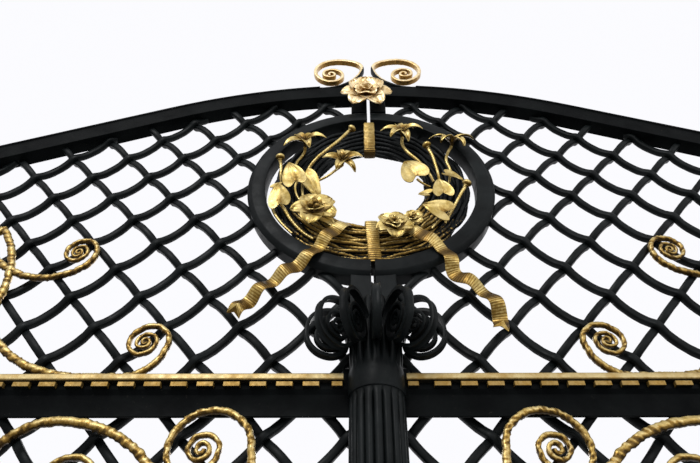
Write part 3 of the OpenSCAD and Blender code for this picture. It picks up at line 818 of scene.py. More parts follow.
@dataclass
class MidRail:
    """The channel between the two panels, with its lip, and the gilded cornice on it."""

    inner_x: float = 5.0
    outer_x: float = 1807.0
    cornice_x: float = 59.0
    left_back: float = 6.0
    cornice_y: float = -34.0
    lip_y: float = -20.0
    back_y: float = 30.0
    web_front: float = -14.0
    web_back: float = -8.0
    bottom: float = 2058.0
    web: float = 2088.0
    top: float = 2127.0
    cornice_top: float = 2142.0
    first: float = 112.3
    pitch: float = 52.0
    dentil: float = 33.0
    cut_dentil: float = 21.5
    end_gap: float = 1.8
    shoe: Pair = (46.0, 67.0)
    shoe_height: float = 36.0

    def along(self, profile: list[Pair], start: float, stop: float, arris: float) -> Array:
        """A profile of depth and height carried along x, with its arrises cut off.

        Args:
            profile: Corners in order round the section.
            start: First x.
            stop: Last x.
            arris: Length of each cut.

        Returns:
            Rings shaped stations, points, 3.
        """
        corner = np.array(profile, float)
        before, after = unit(np.roll(corner, 1, 0) - corner), unit(np.roll(corner, -1, 0) - corner)
        soft = np.stack([corner + before * arris, corner + after * arris], 1).reshape(-1, 2)
        middle = corner.mean(0)
        x = np.array([start, start + arris, stop - arris, stop])
        least = 1 - 1.4 * arris / np.abs(corner - middle).max()
        shrink = np.array([least, 1.0, 1.0, least])[:, None, None]
        flat = middle + (soft[None] - middle) * shrink
        return np.concatenate([np.broadcast_to(x[:, None, None], flat.shape[:2] + (1,)), flat], 2)

    def build(self, paint: Material, gilt: Material) -> None:
        """Makes the channels, and the strips with their dentils and black end shoes.

        Args:
            paint: Finish of the channels.
            gilt: Finish of the strips.
        """
        lip, back, top = self.lip_y, self.back_y, self.top
        near, far = self.web_front, self.web_back
        y, z = self.cornice_y, self.cornice_top
        channel = [
            (near, self.bottom), (far, self.bottom), (far, self.web), (back, self.web),
            (back, top), (lip, top), (lip, top - 14), (near, top - 23),
        ]
        strip = [
            (y + 2.5, z - 15.6), (y, z - 13), (y, z - 3), (y + 2.5, z),
            (back, z), (back, top - 0.2), (y + 9, top - 0.6),
        ]
        tooth = [(y + 3, z - 28), (y + 3, z - 17.5), (lip + 0.5, z - 15.5), (lip + 0.5, z - 28)]
        high = top + self.shoe_height
        shoe = [(near + 0.5, top - 1), (near + 0.5, high), (6, high), (6, top - 1)]
        for leaf in Leaf:
            shell = Shell()
            shell.add(self.along(channel, self.inner_x, self.outer_x, 1.0), 0.0)
            shell.fit(leaf, "moulded_mid_rail", paint, 20, PAINT_SLOT, "mid_rail")
            shell = Shell()
            start = self.cornice_x + (self.left_back if leaf is Leaf.LEFT else 0.0)
            shell.add(self.along(strip, start, self.outer_x, 0.9), 1.0)
            first = start + self.end_gap
            # painted shade: the dentils under the strip are browned by 0.42
            shell.add(self.along(tooth, first, first + self.cut_dentil, 0.8), 1.0, 0.42)
            for x in np.arange(self.first, self.outer_x - self.dentil, self.pitch):
                shell.add(self.along(tooth, x, x + self.dentil, 0.8), 1.0, 0.42)
            shell.add(self.along(shoe, *self.shoe, 0.8), 0.0)
            shell.fit(leaf, "gilded_cornice", gilt, 20, GILT_SLOT, "cornice")


@dataclass
class Lattice:
    """Bars woven in diamonds: rising ones dip behind the falling ones at each crossing."""

    arch: ArchLine
    medallion: Medallion
    cell_x: float = 80.0
    cell_z: float = 85.15
    cross_x: float = 376.5
    cross_z: float = 2709.0
    bar: float = 17.0
    crimp: float = 12.0
    inner_x: float = 53.0
    outer_x: float = 1807.0
    cornice_top: float = 2142.0
    lower_bottom: float = 140.0
    lower_top: float = 2088.0
    rail: float = 61.0
    bury: float = 5.0
    most: int = 30
    reach: int = 34

    def inside(self, x: Array, z: Array, upper: bool) -> Array:
        """Where a panel is open, with its bars running a little into the frame.

        Args:
            x: Distances from the slit.
            z: Heights.
            upper: Whether the panel is the upper one.

        Returns:
            Whether each point is inside.
        """
        across = (x > self.inner_x - self.bury) & (x < self.outer_x + self.bury)
        if not upper:
            return across & (z > self.lower_bottom - self.bury) & (z < self.lower_top + self.bury)
        lid = self.arch.top(x) - self.rail / np.cos(self.arch.slope_at(x)) + self.bury
        clear = np.hypot(x, z - self.medallion.centre_z) > self.medallion.outer - self.bury
        return across & clear & (z > self.cornice_top - self.bury) & (z < lid)

    def runs(self, index: int, rising: bool, upper: bool) -> list[Pair]:
        """Stretches, in crossings, over which one bar shows in a panel.

        Args:
            index: Which bar, counted from the first crossing.
            rising: Whether the bar rises away from the slit.
            upper: Whether the panel is the upper one.

        Returns:
            Start and end of each stretch.
        """
        t = np.linspace(-self.reach, self.reach, 200 * self.reach + 1)
        x = self.cross_x + (index + t) * self.cell_x
        z = self.cross_z + ((t - index) if rising else (index - t)) * self.cell_z
        inside = np.concatenate([[False], self.inside(x, z, upper), [False]])
        flips = np.flatnonzero(np.diff(inside.astype(int)))
        return [(float(t[a]), float(t[b - 1])) for a, b in zip(flips[::2], flips[1::2]) if b - a > 12]

    def bar_line(self, index: int, rising: bool, start: float, stop: float) -> Array:
        """Centre line of one stretch of a bar.

        Between two crossings the depth changes by 1 - |2u - 1|^p, where u runs from 0 to 1 over
        the cell less a short flat at each crossing. A falling bar lies half a bar behind the
        front at a crossing and hangs back by crimp; a rising one dips to a bar and a half there
        and comes forward to half a bar.

        Args:
            index: Which bar.
            rising: Whether the bar rises away from the slit.
            start: Where it starts, in crossings.
            stop: Where it ends.

        Returns:
            The line, one row per point.
        """
        early = np.array([0.04, 0.075, 0.12, 0.19, 0.28, 0.39])
        stations = np.concatenate([[0.0], early, [0.5], 1 - early[::-1]])
        cells = np.arange(math.floor(start), math.ceil(stop))
        t = (cells[:, None] + stations[None]).ravel()
        t = np.concatenate([[start], t[(t > start + 0.02) & (t < stop - 0.02)], [stop]])
        flat, power = (0.055, 2.1) if rising else (0.03, 2.5)
        u = np.clip((t % 1.0 - flat) / (1 - 2 * flat), 0, 1)
        bow = 1 - np.abs(2 * u - 1) ** power
        y = self.bar * (1.5 - bow) if rising else self.bar * 0.5 + self.crimp * bow
        y = y + 0.4 * smooth_noise(t, 0 * t, 60 + index, (1.7, 0.9))
        x = self.cross_x + (index + t) * self.cell_x
        z = self.cross_z + ((t - index) if rising else (index - t)) * self.cell_z
        return np.stack([x, y, z], 1)

    def panel(self, rising: bool, upper: bool) -> Shell:
        """All bars of one direction in one panel.

        Args:
            rising: Whether the bars rise away from the slit.
            upper: Whether the panel is the upper one.

        Returns:
            The bars.
        """
        shell = Shell()
        section, angle = rounded_square(8, 0.34)
        tilt = math.atan2(self.cell_z, self.cell_x)
        side = np.array([-math.sin(tilt) if rising else math.sin(tilt), 0, math.cos(tilt)])
        for index in range(-self.most, self.most + 1):
            for start, stop in self.runs(index, rising, upper):
                line = self.bar_line(index, rising, start, stop)
                along = unit(np.gradient(line, axis=0))
                sides = np.broadcast_to(side, line.shape)
                depth = unit(np.cross(sides, along))
                run = distance_along(line)[:, None]
                worked = 1 + 0.03 * smooth_noise(run, angle[None], 300 + index, (47.0, 23.0))
                size = (self.bar * 0.51 * worked)[..., None]
                shell.add(sweep(line, sides, depth, section[None] * size), 0.0)
        return shell

    def build(self, paint: Material) -> None:
        """Makes the four flat sides of lattice on each leaf.

        Args:
            paint: Finish of the bars.
        """
        for upper, panel in ((True, "upper"), (False, "lower")):
            for rising, bars in ((True, "bars"), (False, "crimped_bars")):
                shell = self.panel(rising, upper)
                for leaf in Leaf:
                    shell.fit(leaf, f"{panel}_{bars}_forged", paint, 60, PAINT_SLOT, f"{panel}_{bars}")


@dataclass
class Scrollwork:
    """Hammered bars in front of the lattice that taper as they roll up."""

    leaf_mid: float = 930.0
    cornice_top: float = 2142.0
    lower_top: float = 2058.0
    lower_bottom: float = 140.0
    bar: float = 14.0
    seat: float = 0.3
    lower_y: float = -21.0
    oval_height: float = 432.0
    oval_half: float = 80.0
    tall_half: float = 185.0
    high_r: float = 37.0
    low_r: float = 42.0
    low_x: float = 860.4
    loop_r: float = 77.0
    loop_x: float = 232.0
    lap: float = 9.0
    wide_r: float = 258.0
    lean: float = math.radians(7)
    coil: tuple[float, ...] = (1, 0.7, 0.5, 0.33, 0.21, 0.13)
    loop_coil: tuple[float, ...] = (0.62, 0.37, 0.26, 0.16, 0.1)

    def hammered(self, shell: Shell, path: Path, width: Array, y: float, seed: int) -> None:
        """Adds one hammered bar.

        The section is a rounded square; each of its points is drawn in by a share of the
        relief's size, so that flats and ridges follow one another along the bar. Where it is
        drawn in, painted shade browns the gilding.

        Args:
            shell: Where the bar goes.
            path: Centre line in x and z, and its headings in radians.
            width: Width of the bar at each point.
            y: Depth of the centre line.
            seed: Fixes the hammer marks.
        """
        flat, heading = path
        section, angle = rounded_square(10, 0.56)
        run = distance_along(flat)
        marks = smooth_noise(run[:, None], angle[None], seed, (47.0, 31.0, 18.0))
        pull = 1.08 - 0.31 * np.abs(marks) ** 0.75
        # painted shade: brown where the hammer marks draw the section in
        soil_and_shade = np.clip(np.abs(marks) * 1.7 - 0.45, 0, 0.66)
        size = half_sizes(width, np.minimum(self.bar, width * 1.25), angle.size)
        side = left_of(heading)
        wander = 0.9 * smooth_noise(run, 0 * run, seed + 7, (61.0, 29.0))
        line = upright_line(flat, y) + wander[:, None] * side
        section = section[None] * size * pull[..., None] * 1.06
        shell.add(sweep(line, side, straight_back(line), section), 1.0, soil_and_shade)

    def mirrored(self, flat: Array, heading: Array) -> Path:
        """A line mirrored at the leaf's centre line."""
        return np.stack([2 * self.leaf_mid - flat[:, 0], flat[:, 1]], 1), np.pi - heading

    def lifted(self, flat: Array, heading: Array) -> Path:
        """A line mirrored at the lower panel's middle height."""
        return np.stack([flat[:, 0], self.lower_top + self.lower_bottom - flat[:, 1]], 1), -heading

    def taper(self, flat: Array, width: float, heart: float, roll: float) -> Array:
        """Width along a bar: even, then falling to the heart's width over its last part.

        Args:
            flat: Centre line in x and z.
            width: Width of the even part.
            heart: Width at the end.
            roll: Length of the part that narrows.

        Returns:
            Width at each point.
        """
        run = distance_along(flat)
        t = np.clip((run - (run[-1] - roll)) / roll, 0, 1)
        return width + (heart - width) * t**0.8

    def oval(self, low: float, high: float, half: float) -> Path:
        """One side of a pointed oval, as an arc from low to high that bulges by half.

        Args:
            low: Height of its foot.
            high: Height of its head.
            half: Greatest distance from the leaf's centre line.

        Returns:
            Its points and headings.
        """
        chord = high - low
        r = (chord**2 / 4 + half**2) / (2 * half)
        turn = 2 * math.degrees(math.asin(chord / 2 / r))
        return arc_path((self.leaf_mid, low), 90 + turn / 2, [(r, -turn)], 3.4)

    def high_scroll(self) -> Path:
        """The scroll that drops from the leaf's centre line and rolls up.

        Returns:
            Its points and headings.
        """
        r = self.high_r
        parts = [(r * 7.8, -25), (r * 3.7, -58), (r * 1.7, -64), *half_turns(r, *self.coil)]
        return arc_path((self.leaf_mid, self.cornice_top + r * 9.5), 227, parts, 2.6)

    def low_scroll(self) -> Path:
        """The scroll that runs along the cornice and rolls up.

        Returns:
            Its points and headings.
        """
        r = self.low_r
        bend, turn = r * 7.2, 62
        rise = self.bar * 0.4 + self.seat + bend * (1 - math.cos(math.radians(turn)))
        parts = [(bend, -turn), (r * 1.7, 0), (r * 2, -90), *half_turns(r, *self.coil)]
        return arc_path((self.low_x, self.cornice_top + rise), 180 + turn, parts, 2.6)

    def stem(self) -> tuple[float, float, float]:
        """Where the stem that the loops and arches share starts, at the lower panel's middle.

        Returns:
            Half the panel's height, the height of the stem's bend and the x where it starts.
        """
        half = (self.lower_top - self.lower_bottom) / 2
        rise = half + self.lap - self.loop_r + self.loop_r * math.sin(self.lean)
        return half, rise, self.loop_x - rise * math.tan(self.lean / 2)

    def round_loop(self) -> Path:
        """The loop beside the stile in the lower panel, from its stem to its heart.

        Returns:
            Its points and headings.
        """
        r, turn = self.loop_r, math.degrees(self.lean)
        half, rise, stem = self.stem()
        parts = [(rise / math.sin(self.lean), -turn), (r, turn - 180), *half_turns(r, *self.loop_coil)]
        return arc_path((stem, self.lower_bottom + half), 90, parts, 3.4)

    def wide_arch(self) -> Path:
        """The wide arch that leaves the same stem and rolls up inside itself.

        Returns:
            Its points and headings.
        """
        r, width = self.wide_r, self.bar * 0.9
        half, _, stem = self.stem()
        bend, first, second = r * 3.27, 43, 47
        rise = half - width - r * (1 - math.cos(math.radians(second))) - bend * math.sin(math.radians(first))
        parts = [
            (rise, 0), (bend, -first), (r, -second), (r * 0.46, -90), (r * 0.43, -180),
            *half_turns(r, 0.19, 0.13, 0.085, 0.05, 0.03),
        ]
        return arc_path((stem + width - 1, self.lower_bottom + half), 90, parts, 3.5)

    def upper(self) -> Shell:
        """The upper panel's scrolls: an oval with a high and a low scroll on either side.

        Returns:
            The scrolls.
        """
        shell = Shell()
        foot = self.cornice_top + self.bar / 2 + self.seat
        oval = self.oval(foot, self.cornice_top + self.oval_height, self.oval_half)
        for flip in (0, 1):
            for seed, path, width, heart, roll in (
                (11, oval, 17.0, 17.0, 1.0),
                (23, self.high_scroll(), 16.6, 5.6, 560.0),
                (31, self.low_scroll(), 17.0, 6.0, 620.0),
            ):
                widths = self.taper(path[0], width, heart, roll)
                path = self.mirrored(*path) if flip else path
                self.hammered(shell, path, widths, -self.bar / 2, seed + flip)
        return shell

    def lower(self) -> Shell:
        """The lower panel's loops, wide arches and tall oval, the same above and below.

        Returns:
            The scrolls.
        """
        shell = Shell()
        tall = self.oval(self.lower_bottom - self.bar / 2, self.lower_top + self.bar / 2, self.tall_half)
        for flip in (0, 1):
            path = self.mirrored(*tall) if flip else tall
            self.hammered(shell, path, np.full(len(path[0]), 17.2), self.lower_y, 41 + flip)
            for lift in (0, 1):
                for seed, path, width, heart, roll in (
                    (50, self.round_loop(), 17.2, 8.4, 800.0),
                    (60, self.wide_arch(), 17.8, 8.4, 1000.0),
                ):
                    widths = self.taper(path[0], width, heart, roll)
                    path = self.lifted(*path) if lift else path
                    path = self.mirrored(*path) if flip else path
                    self.hammered(shell, path, widths, self.lower_y, seed + 2 * flip + lift)
        return shell

    def build(self, gilt: Material) -> None:
        """Makes the scrolls of both panels on both leaves.

        Args:
            gilt: Finish of the scrolls.
        """
        for node, shell in (("upper_scrolls", self.upper()), ("lower_scrolls", self.lower())):
            for leaf in Leaf:
                shell.fit(leaf, f"{node}_hammered", gilt, 75, GILT_SLOT, node)


@dataclass
class Wreath:
    """Twisted vine strands inside the ring, half on each leaf, with two ribbed bands over the slit."""

    medallion: Medallion
    strands: int = 6
    first: float = 157.0
    last: float = 258.5
    ply_radius: float = 6.4
    y: float = 15.0
    orbit: float = 5.2
    winding: float = 36.6
    rear_radius: float = 8.2
    band_half: float = 15.8
    rib: float = 1.2
    rib_pitch: float = 6.9
    tie_x: Pair = (6.5, 12.5)
    tie_y: Pair = (-2.0, 6.0)
    cover_y: Pair = (8.0, 16.0)

    def ply(self, index: int, second: bool) -> tuple[Array, Array, Array]:
        """One of the two plies of a strand, with its gilding and soil.

        Each ply winds round the strand's half circle at the orbit's radius, by one radian in
        each winding, and the two lie on opposite sides. Its round section swells by small
        lumps. Gilding sits on the front of it and is strongest at the wreath's foot.

        Args:
            index: Which strand, from the opening outwards.
            second: Whether it is the strand's second ply.

        Returns:
            Its rings, its gilding shares and its soil shares.
        """
        r0 = self.first + index * (self.last - self.first) / (self.strands - 1)
        a = np.linspace(-1, 1, 230) * math.acos(self.medallion.edge_in / r0)
        run = a * r0
        turn = run / self.winding + 1.9 * index + (math.pi if second else 0.0)
        wander = smooth_noise(run, 0 * run, 80 + index, (190.0, 83.0, 47.0)) * np.sqrt(np.cos(a))
        r = r0 + 1.2 * wander + self.orbit * np.cos(turn)
        radial = np.stack([np.cos(a), 0 * a, np.sin(a)], 1)
        line = radial * r[:, None] + [0, 0, self.medallion.centre_z]
        line[:, 1] = self.y + 1.4 * wander + self.orbit * np.sin(turn)
        phi = np.arange(9) * 2 * np.pi / 9
        lumps = 0.09 * smooth_noise(run[:, None], phi[None], index + 7 * second, (15.0, 9.0))
        section = self.ply_radius * (1 + lumps)[..., None] * np.stack([np.cos(phi), np.sin(phi)], -1)
        rings = sweep(line, radial, straight_back(line), section)
        rings[[0, -1], :, 0] = self.medallion.edge_in
        foot = np.clip(0.35 - 0.95 * np.sin(a) - 0.35 * np.cos(a), 0, 1)[:, None]
        foot = foot * (1.0 if index < 4 else 0.55)
        front = np.clip(-2.2 * np.sin(phi - 0.4)[None] - 0.9 + lumps * 2, 0, 1)
        return rings, foot * front, 0.26 + 1.6 * np.abs(lumps)

    def rear(self, shell: Shell) -> None:
        """Adds the black strands that lie behind the gaps of the front ones.

        Args:
            shell: Where they go.
        """
        section, _ = rounded_square(8, 0.9)
        step = (self.last - self.first) / (self.strands - 1)
        for index in range(self.strands - 1):
            r = self.first + (index + 0.5) * step
            a = np.linspace(-1, 1, 90) * math.acos(self.medallion.edge_in / r)
            out = np.stack([np.cos(a), 0 * a, np.sin(a)], 1)
            wander = 1.5 * smooth_noise(a * r, 0 * a, 60 + index, (130.0, 61.0))
            line = out * (r + wander)[:, None] + [0, self.y + 8, self.medallion.centre_z]
            rings = sweep(line, out, straight_back(line), section * self.rear_radius)
            rings[[0, -1], :, 0] = self.medallion.edge_in
            shell.add(rings, 0.0)

    def lugs(self, shell: Shell) -> None:
        """Short bars that tie the outer strand to the ring near its top and foot.

        Args:
            shell: Where they go.
        """
        section, _ = rounded_square(10, 0.8)
        for degrees in (-74, -58, 58, 74):
            a = math.radians(degrees)
            out = np.array([math.cos(a), 0, math.sin(a)])
            r = np.linspace(self.last, self.medallion.inner + 3, 4)[:, None]
            line = out[None] * r + [0, self.y + 3, self.medallion.centre_z]
            side = np.broadcast_to([-out[2], 0, out[0]], line.shape)
            shell.add(sweep(line, side, straight_back(line), section * 5), 0.0)

    def build(self, gilt: Material) -> None:
        """Makes both halves of the wreath.

        Args:
            gilt: Finish of the vines.
        """
        for leaf in Leaf:
            shell = Shell()
            for index in range(self.strands):
                shell.add(*self.ply(index, False))
                shell.add(*self.ply(index, True))
            self.rear(shell)
            self.lugs(shell)
            shell.fit(leaf, "twisted_vines", gilt, 80, PAINT_SLOT, "wreath_vines")

    def bands(self, gilt: Material) -> None:
        """Makes the two ribbed bands that cover the slit at the wreath's top and foot.

        Each is a strip that hooks round the inmost vine and runs outwards to the ring. At
        distance s along it the front is raised by rib |sin(pi s / pitch)|^0.7, with painted shade
        between ribs and painted shade that grows towards each band's lower end. A black block
        behind each carries it, and black cover strips behind the lower one narrow the slit down
        to the capital.

        Args:
            gilt: Finish of the bands.
        """
        shell = Shell()
        marks = [
            (151, 24, 0), (143.5, 19, 0), (140.5, 9, 0), (142.5, 0, 0), (149, -5.2, 0),
            (170, -6.6, 0), (215, -7.6, 0), (262, -6.6, 0), (282, -4.6, 0),
        ]
        curve = curve_through(marks, 210)[:, :2]
        run = distance_along(curve)
        share = run / run[-1]
        tangent = unit(np.gradient(curve, axis=0))
        normal = np.stack([tangent[:, 1], -tangent[:, 0]], 1)
        wave = np.abs(np.sin(np.pi * run / self.rib_pitch))
        v = np.array([-1, -0.85, 0, 0.85, 1, 1, -1])
        crown = self.rib * wave[:, None] ** 0.7 * [0.3, 1, 1, 1, 0.3] + [0.0, 1.0, 1.6, 1.0, 0.0]
        lift = np.concatenate([crown, np.full((len(run), 2), -2.0)], 1)
        flat = curve[:, None] + normal[:, None] * lift[..., None]
        half = self.band_half + 0.5 * smooth_noise(run, 0 * run, 3, (60.0, 31.0))
        for sign in (1.0, -1.0):
            lean = (share * 9 - 3 if sign < 0 else 0 * run)[:, None]
            z = self.medallion.centre_z + sign * flat[..., 0]
            rings = np.stack([v[None] * half[:, None] + lean, flat[..., 1], z], -1)
            # painted shade: brown in the grooves between ribs and towards each band's lower end
            soil_and_shade = np.clip((1 - wave) * 0.75 - 0.1, 0, 1) + 0.42 * (share if sign < 0 else 1 - share)
            shell.add(rings, 1.0, np.broadcast_to(soil_and_shade[:, None], rings.shape[:2]))
            levels = self.medallion.centre_z + sign * np.linspace(152, 280, 4)
            shell.add(upright_block(self.tie_x, self.tie_y, levels), 0.0)
        for inner, span in ((-4.2, (258, 309)), (1.2, (308, 405))):
            levels = self.medallion.centre_z - np.linspace(*span, 4)
            shell.add(upright_block((inner, self.tie_x[1]), self.cover_y, levels), 0.0)
        settle(shell.make("ribbed_wreath_bands", gilt, 1.0, 50), Leaf.RIGHT.body, GILT_SLOT, "wreath_bands")


@dataclass(frozen=True)
class Petal:
    """One petal or leaf: its size, outline and bend."""

    length: float
    width: float
    outline: Outline
    rise: float
    fall: float
    cup: float
    ruffle: float
    thick: float
    seed: int

    def half_width(self, u: Array) -> Array:
        """Share of the half width along the petal.

        A pointed petal swells as 0.16 + 0.84 sin(pi u^0.85)^0.9 (1 - 0.35 u) - 0.14 u^3, a round
        one as an ellipse in u^0.72 with a broad foot, and a heart leaf as sin(pi u^0.45)^0.85.

        Args:
            u: Shares of the length.

        Returns:
            Share of the half width at each of them.
        """
        if self.outline is Outline.POINTED:
            swell = np.sin(np.pi * np.clip(u, 0, 1) ** 0.85) ** 0.9
            return 0.16 + 0.84 * swell * (1 - 0.35 * u) - 0.14 * u**3
        if self.outline is Outline.ROUND:
            oval = np.sqrt(np.clip(1 - (2 * u**0.72 - 1) ** 2, 0.0004, 1))
            return 0.2 * (1 - u) ** 2 + oval * (0.8 + 0.2 * u)
        return np.clip(np.sin(np.pi * u**0.45), 0, 1) ** 0.85

    def surface(self, shift: float, stations: int, across: int) -> Array:
        """One face of the petal as a grid.

        The centre line starts at elevation rise and ends at elevation fall, both in degrees.
        Across it, a point at share v of the half width w lies at y = w v, lifted by
        cup w v^2 and by the ruffle and sunk along the vein, and the lobes of a heart lie back by
        0.34 of the width times |v|^1.5; the face is moved along its normal by shift.

        Args:
            shift: Distance along the normal.
            stations: Points along the petal.
            across: Points across it.

        Returns:
            Grid shaped stations, across, 3.
        """
        heart = self.outline is Outline.HEART
        u = np.linspace(0.0, 1.0, stations) ** (1.6 if heart else 1.0)
        angle = np.radians(self.rise + (self.fall - self.rise) * u**1.1)
        step = self.length * np.diff(u)
        x = np.concatenate([[0], np.cumsum(np.cos(angle[:-1]) * step)])
        z = np.concatenate([[0], np.cumsum(np.sin(angle[:-1]) * step)])
        v = np.linspace(-1, 1, across)[None]
        u, x, z, angle = (value[:, None] for value in (u, x, z, angle))
        w = self.half_width(u) * self.width / 2
        lobes = (1 - u) ** 2 * np.clip(u / 0.02, 0, 1) ** 0.5 if heart else 0.0
        back = 0.34 * self.width * np.abs(v) ** 1.5 * lobes
        vein = 0.035 * self.width * np.exp(-((v / 0.1) ** 2)) * (1 - u)
        lift = self.cup * w * v**2 + self.ruffle * np.sin(3.1 * v * np.pi + self.seed) * u**2 - vein
        grid = np.stack([x - back - np.sin(angle) * lift, w * v, z + np.cos(angle) * lift], -1)
        normal = unit(np.cross(np.gradient(grid, axis=0), np.gradient(grid, axis=1)))
        return grid + normal * shift

    def rings(self, stations: int, across: int) -> Array:
        """Both faces joined into closed rings, one round each station.

        Args:
            stations: Points along the petal.
            across: Points across it.

        Returns:
            Rings shaped stations, 2 across, 3.
        """
        top = self.surface(self.thick / 2, stations, across)
        bottom = self.surface(-self.thick / 2, stations, across)
        return np.concatenate([top, bottom[:, ::-1]], 1)

    def soil_and_shade(self, stations: int, across: int, throat: float, vein: float) -> Array:
        """Share of soil and painted shade round each ring: deep in the throat at the foot and along the sunk
        vein, on both faces.

        It falls below 0 at the edges, which come out lighter.

        Args:
            stations: Points along the petal.
            across: Points across it.
            throat: Soil and painted shade at the foot, which is gone at half the length.
            vein: Soil and painted shade along the sunk middle vein.

        Returns:
            Shares shaped stations, 2 across.
        """
        u, v = np.linspace(0, 1, stations)[:, None], np.linspace(-1, 1, across)[None]
        # painted shade: brown in the throat and along the vein, less at the edges
        foot = throat * np.clip(1.15 - 2.1 * u, 0, 1)
        front = foot + vein * np.exp(-((v / 0.2) ** 2)) * (1 - 0.6 * u) - 0.5 * v**4 * u
        back = 0.14 + 0.5 * np.exp(-((v / 0.24) ** 2)) * (1.1 - u) - 0.3 * v**4
        return np.concatenate([front, back[:, ::-1]], 1)

    def place(self, shell: Shell, seat: Seat, spin: float, fine: Grid, offset: Pair, soil_and_shade: Pair) -> None:
        """Adds the petal to a shell.

        Args:
            shell: Where it goes.
            seat: Foot and axis of its flower.
            spin: Its direction in degrees.
            fine: Points along and across it.
            offset: How far out and up its own foot lies from the flower's.
            soil_and_shade: Soil and painted shade in its throat and along its vein.
        """
        rings = self.rings(*fine) + [offset[0], 0, offset[1]]
        shell.add(facing(rings, *seat, spin), 1.0, self.soil_and_shade(*fine, *soil_and_shade))


